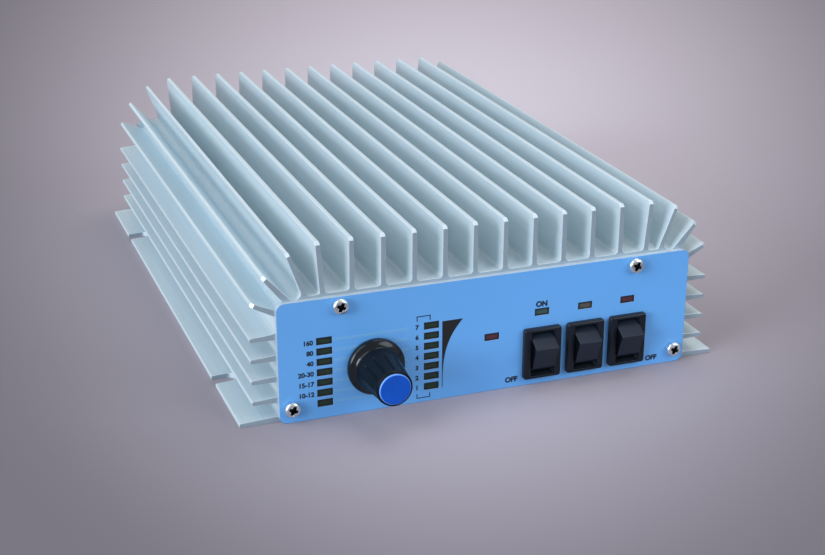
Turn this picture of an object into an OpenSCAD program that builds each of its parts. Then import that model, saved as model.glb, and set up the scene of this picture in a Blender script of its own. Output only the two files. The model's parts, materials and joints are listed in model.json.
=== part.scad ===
// Linear amplifier for short-wave radio, in a finned aluminium housing.
// Millimetres. X runs across the front, Y from front to back, Z up from the base.
// The origin is the middle of the base, between the two foot flanges.

/* [Housing] */
// Length of the extruded housing
housing_l = 220; // [214:1:250]
// Width over the two foot flanges
flange_w = 170; // [166:0.5:182]
// Height of the fin tips above the base
housing_h = 59.3; // [57.3:0.1:62]
// Height of the top plate's upper face
deck_z = 41.9; // [41.5:0.1:44]
// Thickness of the top plate over the channel
deck_t = 7; // [6.2:0.1:7]
// Width over the two side walls
wall_w = 142.6; // [142:0.2:148]
// Thickness of a side wall
wall_t = 5.3; // [4.8:0.1:6]
// Thickness of a foot flange at its edge
flange_t = 1.4; // [1.2:0.1:2]
// Width of the screw rail that runs along the foot of each wall
rail_w = 3.5; // [3.2:0.1:4]
// Height of the screw rail
rail_h = 7; // [6.6:0.1:8]

/* [Fins] */
// Distance between upright fins
fin_pitch = 10.45; // [10:0.05:10.6]
// Thickness of an upright fin at its tip
fin_tip_t = 1.5; // [1.2:0.1:1.8]
// Thickness of an upright fin at its root
fin_root_t = 1.8; // [1.6:0.1:2.6]
// Radius of the fillets at the fin roots
fin_fillet = 1.1; // [0.6:0.1:1.4]
// Distance between the level fins on each side
side_pitch = 7.23; // [6.8:0.01:7.3]
// Height of the lowest side fin's top face
side_fin_z = 8.3; // [8:0.1:9]
// How far the level side fins stand out of the wall
side_reach = 9.3; // [7:0.1:11]
// Bevel on the front end of each fin tip
front_bevel = 1; // [0.5:0.1:3]
// Bevel on the rear end of each fin tip
rear_bevel = 1.5; // [0.5:0.1:3]

/* [Mounting notches] */
// Width of a notch in a foot flange
notch_w = 6.2; // [5.2:0.1:7]
// Depth of a notch from the flange edge
notch_depth = 8; // [6:0.1:9]
// Distance between the two notches on one side
notch_span = 150; // [120:1:170]

/* [Panels and cover] */
// Thickness of the front and rear panels
panel_t = 2; // [1.5:0.1:2.4]
// Corner radius of a panel
panel_r = 2.6; // [1:0.1:4]
// How far a panel stands out past each side wall
panel_lap = 1.05; // [0.4:0.05:1.6]
// How far a panel's top edge lies under the top plate's upper face
panel_drop = 0.9; // [0:0.1:1.5]
// Thickness of the bottom cover
cover_t = 2; // [1.5:0.1:2.2]
// Diameter of the panel and cover screws
screw_d = 3; // [2.5:0.1:3]
// Diameter of a panel screw's head
screw_head_d = 5.3; // [5:0.1:6]
// Height of a panel screw's head
screw_head_h = 2.2; // [1.6:0.1:2.4]

/* [Selector knob] */
// Diameter of the knob's skirt
skirt_d = 19.2; // [17:0.1:20]
// Diameter of the fluted body above the skirt
grip_d = 14.6; // [14:0.1:15.6]
// Diameter of the fluted body at its tip
grip_tip_d = 12.7; // [12.2:0.1:13.5]
// Length of the knob from skirt to cap face
knob_l = 19.5; // [18:0.1:21]
// Number of flats round the grip
flute_count = 12; // [8:1:16]
// Diameter of the blue cap
cap_d = 10.4; // [10:0.1:10.8]
// Diameter of the selector shaft
shaft_d = 6; // [5:0.1:6]

/* [Rocker switches] */
// Width of a switch bezel
bezel_w = 13.4; // [13.2:0.1:14.2]
// Height of a switch bezel
bezel_h = 18; // [17.6:0.1:19]
// How far a bezel stands out of the panel
bezel_t = 2; // [1.5:0.1:2.5]
// Distance between switches
switch_pitch = 15.8; // [15:0.1:16.4]
// Width of a rocker
rocker_w = 8.3; // [7.6:0.1:8.6]
// Height of a rocker's ridge above its pivot
ridge_r = 10.2; // [9:0.1:11]
// Tilt of a rocker each way from the middle
rocker_tilt = 18; // [12:0.5:19]

/* [Lamps] */
// Width of a lamp window
lamp_w = 5.2; // [4.6:0.1:5.6]
// Height of a lamp window
lamp_h = 2.5; // [2:0.1:2.8]
// Distance between lamps in a column
lamp_pitch = 3.58; // [3.4:0.02:3.7]
// Number of lamps in a column
lamp_count = 7; // [4:1:7]

/* [Rear fittings] */
// Outside diameter of a coaxial socket's thread
socket_d = 15.8; // [14:0.1:16.2]
// Side of a coaxial socket's square flange
socket_flange = 25.4; // [24:0.1:26]
// Bore of the power cord's grommet
cord_d = 9; // [6:0.1:9.6]
// Number of blade fuses
fuse_count = 3; // [1:1:3]

/* [Circuit boards] */
// Thickness of a circuit board
board_t = 1.6; // [1:0.1:2]
// Gap between a circuit board's edge and the screw rail beside it
board_clear = 0.5; // [0.3:0.1:2]
// Gap between the main board and the top plate
board_gap = 5; // [5:0.1:5.6]

/* [Hidden] */

$fn = 48;
fit = 0.1;            // all round a piece in its cut-out
thread_fit = 0.05;    // all round a screw in its hole
shaft_fit = 0.05;     // all round a turning shaft
cut = 1;              // how far a cutting shape runs past a face

// places that follow from the sizes
front_y = -housing_l / 2;
rear_y = housing_l / 2;
front_face_y = front_y - panel_t;
rear_face_y = rear_y + panel_t;
wall_x = wall_w / 2;
channel_x = wall_x - wall_t;
channel_z = deck_z - deck_t;
rail_x = channel_x - rail_w;
panel_w = wall_w + 2 * panel_lap;
panel_h = deck_z - panel_drop;
panel_half = panel_w / 2;
hole_r = screw_d / 2 + thread_fit;

// screws that hold a panel: two in the top plate, two in the rails
top_screw_x = 51.8;
top_screw_z = deck_z - 3.9;
rail_screw_x = wall_x - 3.05;
rail_screw_z = 5;
panel_screws = [[-top_screw_x, top_screw_z], [top_screw_x, top_screw_z],
    [-rail_screw_x, rail_screw_z], [rail_screw_x, rail_screw_z]];
panel_screw_l = 12;

// bottom cover, let into a step in the foot of the walls
cover_step = 2.3;
cover_w = 2 * (wall_x - cover_step) - 2 * fit;
cover_l = housing_l - 2 * fit;
cover_z = cover_t + 0.05;
cover_screw_x = (rail_x + wall_x - cover_step) / 2;
cover_screw_inset = 25;
cover_screw_ys = [for (k = [-1 : 1]) k * (housing_l / 2 - cover_screw_inset)];
cover_screw_l = 7;
cover_head_d = 5.6;
cover_head_h = 1.3;

// controls on the front panel, measured from its left and right edges
band_x = 15.2 - panel_half;
knob_x = 31.95 - panel_half;
output_x = 51.35 - panel_half;
middle_switch_x = panel_half - 38.45;
knob_z = 15.85;
skirt_gap = 0.4;
skirt_back_y = front_face_y - skirt_gap;
skirt_t = 3.9;
groove_start = 7;
groove_r = 0.42;
switch_z = 11.6;
switch_xs = [for (k = [-1 : 1]) middle_switch_x + k * switch_pitch];
lamp_top_z = 26.75;
lamp_zs = [for (k = [0 : lamp_count - 1]) lamp_top_z - k * lamp_pitch];
protection_x = 0.2;
protection_z = 19.5;
status_z = 25.9;
lamp_l = 7.5;
lamp_recess = 0.2;

// display board, behind the front panel
display_gap = 10;
display_y = front_y + display_gap;
display_back_y = display_y + board_t;
display_top_z = channel_z - 1.9;
display_low_z = 3.2;
display_right_x = rail_x - board_clear;
display_left_x = -display_right_x;
display_step_x = 9;
display_step_z = 21;
display_fix_z = channel_z - 4.7;
display_fixings = [[knob_x - 5.6, display_fix_z], [4, display_fix_z], [display_right_x - 4.5, display_fix_z],
    [output_x + 10.3, 6.5]];
display_screw_grip = 5;
spacer_d = 5.5;
header_size = [36, 5.3, 2.6];
header_x = -18;

// main board, hung under the top plate
board_top_z = channel_z - board_gap;
board_low_z = board_top_z - board_t;
board_front_y = display_back_y + 2.9;
board_rear_y = rear_y - 8;
board_w = 2 * (rail_x - board_clear);
board_fix_x = board_w / 2 - 4.5;
board_fix_ys = [board_front_y + 6, 2, board_rear_y - 6];

// rocker switches
pivot_depth = 5.65;
pivot_y = front_face_y - bezel_t + pivot_depth;
switch_body_w = bezel_w - 1.3;
switch_body_h = bezel_h - 1;
switch_depth = 18;
switch_back_y = front_face_y + switch_depth;
well_w = rocker_w + 0.3;
well_h = switch_body_h - 1.2;
well_depth = 9.5;
trunnion_d = 2.4;
trunnion_l = 1.2;
blade_w = 4.8;
blade_t = 0.8;
blade_l = 7;
blade_rise = 4.5;

// rotary switch and its fixing
selector_r = 11.5;
bushing_d = 9;
bushing_out = 3;
nut_af = 12;
nut_t = 1.6;
washer_t = 0.4;

// rear fittings
socket_x = channel_x - 14;
socket_z = 20.5;
socket_pitch = 18.2;
socket_barrel_l = 11;
socket_plate_t = 1.6;
socket_bore_d = 11;
socket_sleeve_d = 13;
contact_d = 5.2;
contact_bore_d = 4;
contact_bore_l = 9;
tail_d = 3.2;
fuse_x = -14;
fuse_z = 16;
fuse_pitch = 9;
fuse_t = 5.1;
fuse_h = 19.1;
fuse_l = 12;
fuse_out = 6;
fuse_plate_t = 2;
fuse_depth = 18;
grommet_x = 14;
grommet_z = 16;
jack_x = 30;
jack_z = 16;
jack_d = 8.3;
lead_d = 1.6;

// ------------------------------------------------------------ outlines
function unit(v) = v / norm(v);

// arc that rounds the corner at c, between the lines to a and to b
function fillet(a, c, b, r, n) =
    let (u = unit(a - c), v = unit(b - c), half = acos(u * v) / 2,
        o = c + unit(u + v) * r / sin(half),
        p = c + u * r / tan(half), q = c + v * r / tan(half),
        a0 = atan2(p.y - o.y, p.x - o.x), a1 = atan2(q.y - o.y, q.x - o.x),
        sweep = (a1 - a0 + 540) % 360 - 180)
    [for (k = [0 : n]) o + r * [cos(a0 + sweep * k / n), sin(a0 + sweep * k / n)]];

// closed outline from corners [x, y, radius]
function rounded(corners, n = 3) =
    let (count = len(corners))
    [for (k = [0 : count - 1])
        let (c = corners[k], a = corners[(k + count - 1) % count], b = corners[(k + 1) % count])
        each c[2] > 0 ? fillet([a.x, a.y], [c.x, c.y], [b.x, b.y], c[2], n) : [[c.x, c.y]]];

function block_outline(w, h, r) =
    [[-w / 2, -h / 2, r], [w / 2, -h / 2, r], [w / 2, h / 2, r], [-w / 2, h / 2, r]];

// a fin is [root, tip, root thickness, tip thickness, fillet below, fillet above]
function fin_corners(f) =
    let (d = unit(f[1] - f[0]), n = [-d.y, d.x],
        low_root = f[0] - n * f[2] / 2, low_tip = f[1] - n * f[3] / 2,
        high_tip = f[1] + n * f[3] / 2, high_root = f[0] + n * f[2] / 2,
        nose = f[3] * 0.28)
    [[low_root.x, low_root.y, f[4]], [low_tip.x, low_tip.y, nose],
        [high_tip.x, high_tip.y, nose], [high_root.x, high_root.y, f[5]]];

side_fin_t = 1.3;
side_root_t = 2.1;
side_fins = [for (k = [0 : 3])
    let (z = side_fin_z + k * side_pitch - side_fin_t / 2)
    [[wall_x, z + 0.2], [wall_x + side_reach, z], side_root_t, side_fin_t,
        fin_fillet, k == 3 ? 2.8 : fin_fillet]];

// three fins fan out round the corner, with round valleys between them
corner_fins = [
    [[wall_x - 0.7, deck_z - 5.3], [wall_x + 8.5, deck_z - 0.8], 2.1, 1.3, 1.6, 1.35],
    [[wall_x - 3.6, deck_z - 1.7], [wall_x + 4.3, housing_h - 9.7], 2.3, 1.3, 1.35, 1.9],
    [[wall_x - 9.1, deck_z - 0.5], [wall_x - 3.6, housing_h - 2.9], 1.7, 1.2, 1.9, 0.7]];

leaning_fin = [[wall_x - 14.6, deck_z], [wall_x - 13.3, housing_h - 0.2],
    fin_root_t, fin_tip_t, 0.7, fin_fillet];
upright_half = 5;
upright_fins = [for (k = [upright_half - 1 : -1 : 0])
    let (x = (k + 0.5) * fin_pitch)
    [[x, deck_z], [x, housing_h], fin_root_t, fin_tip_t, fin_fillet, fin_fillet]];
top_fins = concat(corner_fins, [leaning_fin], upright_fins);

half_outline = concat(
    [[flange_w / 2, 0, 0.3], [flange_w / 2, flange_t, 0.4], [wall_x, flange_t + 0.7, fin_fillet]],
    [for (f = side_fins) each fin_corners(f)],
    [for (f = top_fins) each fin_corners(f)]);

function mirrored(corners) = [for (k = [len(corners) - 1 : -1 : 0])
    [-corners[k].x, corners[k].y, corners[k][2]]];

half_channel = [[wall_x - cover_step, -cut, 0], [wall_x - cover_step, cover_z, 0],
    [rail_x, cover_z, 0], [rail_x, cover_z + rail_h - 1, 0.6], [channel_x, cover_z + rail_h + 1, 0],
    [channel_x, channel_z, 1.5]];

// ------------------------------------------------------------ shared shapes
// extrudes an outline drawn in X and Z from y0 to y0 + depth
module along_y(y0, depth) {
    translate([0, y0 + depth, 0])
        rotate([90, 0, 0])
            linear_extrude(depth)
                children();
}

// a round bar or bore along Y, from y0 to y0 + length
module rod_y(x, z, r, y0, length) {
    translate([x, y0, z])
        rotate([-90, 0, 0])
            cylinder(r = r, h = length);
}

module block(low, high) {
    translate(low)
        cube(high - low);
}

// screw with a domed cross-recess head; its seat is at the origin and it points along +Z
module pan_screw(length) {
    r = screw_head_d / 2;
    steps = 5;
    dome = [for (k = [0 : steps])
        [r * cos(90 * k / steps), -screw_head_h * (0.35 + 0.65 * sin(90 * k / steps))]];
    difference() {
        union() {
            rotate_extrude()
                polygon(concat([[0, 0], [r, 0]], dome));
            cylinder(d = screw_d, h = length);
        }
        for (turn = [0, 90])
            rotate([0, 0, turn])
                translate([-screw_head_d * 0.27, -0.45, -screw_head_h - cut])
                    cube([screw_head_d * 0.54, 0.9, cut + 1.2]);
    }
}

// points a screw's shank along +Y or along -Y
module screw_y(x, y, z, length, towards) {
    translate([x, y, z])
        rotate([-90 * towards, 0, 0])
            pan_screw(length);
}

module hex_nut(af, thickness, bore_r) {
    difference() {
        cylinder(d = af / cos(30), h = thickness, $fn = 6);
        translate([0, 0, -cut])
            cylinder(r = bore_r, h = thickness + 2 * cut);
    }
}

// insulated lead that leaves a blade along Y and turns up to the main board
module lead(x, y0, z, y_turn) {
    rod_y(x, z, lead_d / 2, y0, y_turn - y0);
    translate([x, y_turn, z])
        sphere(d = lead_d);
    translate([x, y_turn, z])
        cylinder(d = lead_d, h = board_low_z - z);
}

// ------------------------------------------------------------ housing
// takes the sharp corner off one end of a fin, square to the fin's own direction
module end_bevel(f, y, towards, size) {
    d = unit(f[1] - f[0]);
    translate([f[1].x, y, f[1].y])
        rotate([0, -atan2(d.y, d.x), 0])
            translate([0, 0, -3])
                linear_extrude(6)
                    polygon([[-size, -cut * towards], [-size, 0], [0, size * towards],
                        [cut, size * towards], [cut, -cut * towards]]);
}

module flange_notch(x, y) {
    inner_x = flange_w / 2 - notch_depth + notch_w / 2;
    translate([sign(x) * inner_x, y, -cut])
        cylinder(d = notch_w, h = 5);
    block([min(x, sign(x) * inner_x), y - notch_w / 2, -cut],
        [max(x, sign(x) * inner_x), y + notch_w / 2, 5 - cut]);
}

module heatsink_housing() {
    color("#A9C2CE")
    difference() {
        along_y(front_y, housing_l)
            difference() {
                polygon(rounded(concat(half_outline, mirrored(half_outline)), 4));
                polygon(rounded(concat(half_channel, mirrored(half_channel)), 3));
            }
        for (side = [0, 1])
            mirror([side, 0, 0])
                for (f = top_fins) {
                    end_bevel(f, front_y, 1, front_bevel);
                    end_bevel(f, rear_y, -1, rear_bevel);
                }
        for (side = [-1, 1], end = [-1, 1])
            flange_notch(side * (flange_w / 2 + cut), end * notch_span / 2);
        for (p = panel_screws) {
            rod_y(p.x, p.y, hole_r, front_y - cut, panel_screw_l + cut);
            rod_y(p.x, p.y, hole_r, rear_y - panel_screw_l, panel_screw_l + cut);
        }
        for (side = [-1, 1], y = cover_screw_ys)
            translate([side * cover_screw_x, y, 0])
                cylinder(r = hole_r, h = cover_screw_l + 0.5);
        for (x = [-board_fix_x, board_fix_x], y = board_fix_ys)
            translate([x, y, channel_z - cut])
                cylinder(r = hole_r, h = 4 + cut);
        for (p = transistor_places, end = [-1, 1])
            translate([p.x, p.y + end * flange_screw_y, channel_z - cut])
                cylinder(r = hole_r, h = 4.5 + cut);
    }
}

module bottom_cover() {
    color("#B4BCC2")
    difference() {
        block([-cover_w / 2, -cover_l / 2, 0], [cover_w / 2, cover_l / 2, cover_t]);
        for (side = [-1, 1], y = cover_screw_ys)
            translate([side * cover_screw_x, y, 0]) {
                translate([0, 0, -cut])
                    cylinder(r = hole_r, h = cover_t + 2 * cut);
                translate([0, 0, -0.01])
                    cylinder(r1 = cover_head_d / 2 + thread_fit, r2 = hole_r, h = cover_head_h + 0.05);
            }
    }
}

module cover_screws() {
    color("#C9CDD2")
    for (side = [-1, 1], y = cover_screw_ys)
        translate([side * cover_screw_x, y, 0.05])
            difference() {
                union() {
                    cylinder(d1 = cover_head_d - 0.1, d2 = screw_d, h = cover_head_h);
                    cylinder(d = screw_d, h = cover_screw_l);
                }
                for (turn = [0, 90])
                    rotate([0, 0, turn])
                        translate([-1.5, -0.4, -cut])
                            cube([3, 0.8, cut + 0.7]);
            }
}

// ------------------------------------------------------------ panels
module panel_blank(y0) {
    along_y(y0, panel_t)
        translate([0, panel_h / 2])
            polygon(rounded(block_outline(panel_w, panel_h, panel_r), 6));
}

module panel_holes(y0) {
    for (p = panel_screws)
        rod_y(p.x, p.y, hole_r, y0 - cut, panel_t + 2 * cut);
}

module window(x, z, w, h, y0) {
    block([x - w / 2, y0 - cut, z - h / 2], [x + w / 2, y0 + panel_t + cut, z + h / 2]);
}

module front_panel() {
    color("#5DA0E6")
    difference() {
        panel_blank(front_face_y);
        panel_holes(front_face_y);
        for (x = [band_x, output_x], z = lamp_zs)
            window(x, z, lamp_w, lamp_h, front_face_y);
        for (x = switch_xs)
            window(x, status_z, lamp_w, lamp_h, front_face_y);
        window(protection_x, protection_z, lamp_w, lamp_h, front_face_y);
        for (x = switch_xs)
            window(x, switch_z, switch_body_w + 2 * fit, switch_body_h + 2 * fit, front_face_y);
        rod_y(knob_x, knob_z, bushing_d / 2 + fit, front_face_y - cut, panel_t + 2 * cut);
    }
}

module rear_panel() {
    color("#B9C6CE")
    difference() {
        panel_blank(rear_y);
        panel_holes(rear_y);
        for (x = [-socket_x, socket_x]) {
            rod_y(x, socket_z, socket_sleeve_d / 2 + fit, rear_y - cut, panel_t + 2 * cut);
            for (p = socket_corners)
                rod_y(x + p.x, socket_z + p.y, hole_r, rear_y - cut, panel_t + 2 * cut);
        }
        window(fuse_x, fuse_z, fuse_body_w + 2 * fit, fuse_body_h + 2 * fit, rear_y);
        rod_y(grommet_x, grommet_z, grommet_neck_r + fit, rear_y - cut, panel_t + 2 * cut);
        rod_y(jack_x, jack_z, jack_d / 2 + fit, rear_y - cut, panel_t + 2 * cut);
    }
}

module front_panel_screws() {
    color("#D5D9DD")
    for (p = panel_screws)
        screw_y(p.x, front_face_y, p.y, panel_t + panel_screw_l - 1, 1);
}

module rear_panel_screws() {
    color("#D5D9DD")
    for (p = panel_screws)
        screw_y(p.x, rear_face_y, p.y, panel_t + panel_screw_l - 1, -1);
}

// ------------------------------------------------------------ selector
collet_d = 9;
collet_l = 9;
nut_recess_d = 14.8;
nut_recess = 3.2;
cap_t = 2.2;
cap_proud = 0.5;

// the grip's half outline, turned about the knob's axis; y = 0 is the skirt's back
module knob_turning() {
    r = skirt_d / 2;
    rim = knob_l - cap_proud;
    rotate_extrude(convexity = 4)
        polygon([[0, 0], [r - 0.3, 0], [r, 0.4], [r, 1.5], [r - 0.35, 2.1], [r - 0.95, 2.5],
            [grip_d / 2 + 0.9, skirt_t - 1], [grip_d / 2 + 0.25, skirt_t - 0.4], [grip_d / 2, skirt_t + 0.5],
            [grip_tip_d / 2, rim - 1], [grip_tip_d / 2 - 0.25, rim - 0.4], [grip_tip_d / 2 - 0.75, rim],
            [0, rim]]);
}

module selector_knob() {
    lean = atan((grip_d - grip_tip_d) / 2 / (knob_l - skirt_t));
    color("#17181A")
    translate([knob_x, skirt_back_y, knob_z])
        rotate([90, 0, 0])
            difference() {
                knob_turning();
                for (k = [0 : flute_count - 1])
                    rotate([0, 0, k * 360 / flute_count])
                        translate([grip_d / 2 + 0.12, 0, skirt_t])
                            rotate([0, -lean, 0])
                                translate([0, 0, groove_start - skirt_t])
                                    cylinder(r = groove_r, h = knob_l, $fn = 16);
                translate([0, 0, -cut])
                    cylinder(d = nut_recess_d, h = nut_recess + cut);
                translate([0, 0, -cut])
                    cylinder(d = collet_d + 2 * thread_fit, h = knob_l - cap_t - 1 + cut);
                translate([0, 0, knob_l - cap_proud - cap_t + 0.5])
                    cylinder(d = cap_d + 0.1, h = cap_t + cut);
            }
}

module knob_cap() {
    r = cap_d / 2;
    seat = knob_l - cap_proud - cap_t + 0.5;
    color("#0D5BD8")
    translate([knob_x, skirt_back_y, knob_z])
        rotate([90, 0, 0])
            rotate_extrude()
                polygon([[0, seat], [r, seat], [r, knob_l - 0.35], [r - 0.35, knob_l - 0.05],
                    [r - 0.8, knob_l - 0.12], [0, knob_l]]);
}

module knob_collet() {
    low = nut_recess + 0.2;
    color("#C8A456")
    translate([knob_x, skirt_back_y, knob_z])
        rotate([90, 0, 0])
            difference() {
                translate([0, 0, low])
                    cylinder(d = collet_d, h = collet_l);
                translate([0, 0, low - cut])
                    cylinder(r = shaft_d / 2 + thread_fit, h = collet_l + 2 * cut);
                translate([-0.4, 0, low - cut])
                    cube([0.8, collet_d, 6]);
            }
}

module selector_shaft() {
    shaft_out = nut_recess + collet_l - 0.5;
    color("#C3C8CC")
    difference() {
        rod_y(knob_x, knob_z, shaft_d / 2, skirt_back_y - shaft_out,
            front_y + 6 - (skirt_back_y - shaft_out));
        block([knob_x - 4, skirt_back_y - shaft_out - cut, knob_z + shaft_d / 2 - 0.8],
            [knob_x + 4, skirt_back_y - nut_recess - 1, knob_z + 4]);
    }
}

module selector_switch() {
    color("#3B3F45")
    difference() {
        union() {
            rod_y(knob_x, knob_z, selector_r, front_y, display_gap);
            rod_y(knob_x, knob_z, bushing_d / 2, front_face_y - bushing_out,
                panel_t + bushing_out + 1);
        }
        rod_y(knob_x, knob_z, shaft_d / 2 + shaft_fit, front_face_y - bushing_out - cut,
            panel_t + bushing_out + 7 + cut);
    }
}

module selector_nut() {
    color("#C9CDD2") {
        translate([knob_x, front_face_y, knob_z])
            rotate([90, 0, 0])
                difference() {
                    cylinder(d = nut_af, h = washer_t);
                    translate([0, 0, -cut])
                        cylinder(r = bushing_d / 2 + thread_fit, h = washer_t + 2 * cut);
                }
        translate([knob_x, front_face_y - washer_t, knob_z])
            rotate([90, 0, 0])
                hex_nut(nut_af, nut_t, bushing_d / 2 + thread_fit);
    }
}

// ------------------------------------------------------------ rocker switches
module switch_body(x) {
    wing = 0.5;
    bezel_y = front_face_y - bezel_t;
    translate([x, 0, switch_z])
        difference() {
            union() {
                along_y(bezel_y, bezel_t - 0.6)
                    polygon(rounded(block_outline(bezel_w - 0.4, bezel_h - 0.4, 0.8), 4));
                along_y(front_face_y - 0.6, 0.6)
                    polygon(rounded(block_outline(bezel_w, bezel_h, 1), 4));
                block([-switch_body_w / 2, front_face_y, -switch_body_h / 2],
                    [switch_body_w / 2, switch_back_y, switch_body_h / 2]);
                for (side = [0, 1])
                    mirror([0, 0, side])
                        translate([-3, 0, switch_body_h / 2])
                            rotate([90, 0, 90])
                                linear_extrude(6)
                                    polygon([[front_y + fit, -0.1], [front_y + fit, wing],
                                        [front_y + 3.5, 0], [front_y + 3.5, -0.1]]);
            }
            block([-well_w / 2, bezel_y - cut, -well_h / 2],
                [well_w / 2, bezel_y + well_depth, well_h / 2]);
            translate([-well_w / 2 - trunnion_l - 0.1, pivot_y, 0])
                rotate([0, 90, 0])
                    cylinder(r = trunnion_d / 2 + shaft_fit, h = well_w + 2 * trunnion_l + 0.2);
        }
}

module power_switch_body() {
    color("#131417")
    switch_body(switch_xs[0]);
}

module attenuator_switch_body() {
    color("#131417")
    switch_body(switch_xs[1]);
}

module delay_switch_body() {
    color("#131417")
    switch_body(switch_xs[2]);
}

// side view of a rocker about its pivot: how far out of the panel, and how far up
rocker_half = well_h / 2 - 1.4;

// arcs about the pivot that close the gap between a rocker's raised end and its bezel
rocker_skirt_r = well_h / 2 - 0.16;
skirt_steps = 6;
function skirt_point(side, k) =
    let (a = 58 + 38 * k / skirt_steps)
    [rocker_skirt_r * cos(a), side * rocker_skirt_r * sin(a), 0];
rocker_profile = [[ridge_r, 0, 0.45], [ridge_r - 3.2, 3.55, 7], [ridge_r - 5.1, rocker_half, 0.5],
    each [for (k = [0 : skirt_steps]) skirt_point(1, k)], [-1.9, 3.6, 1],
    [-1.9, -3.6, 1], each [for (k = [skirt_steps : -1 : 0]) skirt_point(-1, k)],
    [ridge_r - 5.1, -rocker_half, 0.5], [ridge_r - 3.2, -3.55, 7]];

module rocker(x) {
    translate([x, pivot_y, switch_z])
        rotate([-rocker_tilt, 0, 0]) {
            translate([-rocker_w / 2, 0, 0])
                rotate([90, 0, 90])
                    linear_extrude(rocker_w)
                        polygon([for (p = rounded(rocker_profile, 4)) [-p.x, p.y]]);
            translate([-rocker_w / 2 - trunnion_l, 0, 0])
                rotate([0, 90, 0])
                    cylinder(d = trunnion_d, h = rocker_w + 2 * trunnion_l);
        }
}

module power_rocker() {
    color("#1B1D20")
    rocker(switch_xs[0]);
}

module attenuator_rocker() {
    color("#1B1D20")
    rocker(switch_xs[1]);
}

module delay_rocker() {
    color("#1B1D20")
    rocker(switch_xs[2]);
}

module switch_terminals() {
    color("#C8A456")
    for (x = switch_xs, end = [-1, 1])
        translate([x, switch_back_y, switch_z + end * blade_rise])
            difference() {
                block([-blade_w / 2, 0, -blade_t / 2], [blade_w / 2, blade_l, blade_t / 2]);
                translate([0, blade_l - 2.5, -cut])
                    cylinder(d = 1.4, h = 2 * cut);
            }
}

module switch_leads() {
    turns = [3, 7];     // how far behind its blade each lead turns up
    color("#B8232A")
    for (x = switch_xs, k = [0, 1])
        lead(x, switch_back_y + blade_l, switch_z + (1 - 2 * k) * blade_rise,
            switch_back_y + blade_l + turns[k]);
}

// ------------------------------------------------------------ lamps
// rectangular lamp whose two legs reach back to the display board
module lamp(x, z) {
    face_y = front_face_y + lamp_recess;
    w = lamp_w - 2 * fit;
    h = lamp_h - 2 * fit;
    block([x - w / 2, face_y, z - h / 2], [x + w / 2, face_y + lamp_l, z + h / 2]);
    for (side = [-1, 1])
        block([x + side * 1.27 - 0.3, face_y + lamp_l, z - 0.3], [x + side * 1.27 + 0.3, display_y, z + 0.3]);
}

module band_leds() {
    color("#1E3A34")
    for (z = lamp_zs)
        lamp(band_x, z);
}

module output_leds() {
    color("#24473C")
    for (z = lamp_zs)
        lamp(output_x, z);
}

module protection_led() {
    color("#6B2A30")
    lamp(protection_x, protection_z);
}

module power_led() {
    color("#35584B")
    lamp(switch_xs[0], status_z);
}

module attenuator_led() {
    color("#5C5B3A")
    lamp(switch_xs[1], status_z);
}

module transmit_led() {
    color("#6B2A30")
    lamp(switch_xs[2], status_z);
}

// ------------------------------------------------------------ display board
module display_board() {
    color("#1F5A3A")
    difference() {
        along_y(display_y, board_t)
            polygon([[display_left_x, display_low_z], [display_step_x, display_low_z],
                [display_step_x, display_step_z], [display_right_x, display_step_z],
                [display_right_x, display_top_z], [display_left_x, display_top_z]]);
        for (p = display_fixings)
            rod_y(p.x, p.y, hole_r, display_y - cut, board_t + 2 * cut);
    }
}

module display_spacers() {
    color("#C8A456")
    for (p = display_fixings)
        translate([p.x, front_y, p.y])
            rotate([-90, 0, 0])
                difference() {
                    cylinder(d = spacer_d, h = display_gap, $fn = 6);
                    translate([0, 0, 2])
                        cylinder(r = hole_r, h = display_gap);
                }
}

module display_screws() {
    color("#C9CDD2")
    for (p = display_fixings)
        screw_y(p.x, display_back_y, p.y, board_t + display_screw_grip, -1);
}

module display_header() {
    color("#17181A")
    translate([header_x - header_size.x / 2, display_back_y, board_low_z - header_size.z])
        cube(header_size);
}

// ------------------------------------------------------------ main board
// how far the rows of parts stand from the board's rear edge
relay_backs = [58, 27];
toroid_back = 40;
transistor_back = 80;
capacitor_backs = [101, 122];
core_back = 116;
input_back = 158;
transistor_xs = [-36, -12, 12, 36];
transistor_y = board_rear_y - transistor_back;
transistor_places = [for (x = transistor_xs) [x, transistor_y]];
flange_l = 24.8;
flange_d = 9.6;
transistor_plate_t = 1.8;
flange_screw_y = 9.2;
lid_d = 8.4;
tab_size = [18, 5.2, 0.3];
relay_size = [20, 10, 10];
relay_xs = [-50, -28, -6, 16, 38];
relay_ys = [for (back = relay_backs) board_rear_y - back];
toroid_d = 15;
toroid_bore = 7.6;
toroid_h = 7;
toroid_xs = [-40, -20, 0, 20, 40];
toroid_y = board_rear_y - toroid_back;
capacitor_ys = [for (back = capacitor_backs) board_rear_y - back];
capacitor_places = [[-44, capacitor_ys[0], 12.5, 15], [44, capacitor_ys[0], 12.5, 15],
    [-48, capacitor_ys[1], 10, 14]];
core_d = 15;
core_l = 28;
core_y = board_rear_y - core_back;
tube_d = 7;
end_plate_t = 1.5;
input_size = [14, 14, 8];
input_y = board_rear_y - input_back;
input_bore_d = 3.8;
fix_grip = 3;

module main_board() {
    color("#1F5A3A")
    difference() {
        block([-board_w / 2, board_front_y, board_low_z], [board_w / 2, board_rear_y, board_top_z]);
        for (p = transistor_places)
            block([p.x - flange_d / 2 - 0.6, p.y - flange_l / 2 - 0.6, board_low_z - cut],
                [p.x + flange_d / 2 + 0.6, p.y + flange_l / 2 + 0.6, board_top_z + cut]);
        for (x = [-board_fix_x, board_fix_x], y = board_fix_ys)
            translate([x, y, board_low_z - cut])
                cylinder(r = hole_r, h = board_t + 2 * cut);
    }
}

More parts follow.
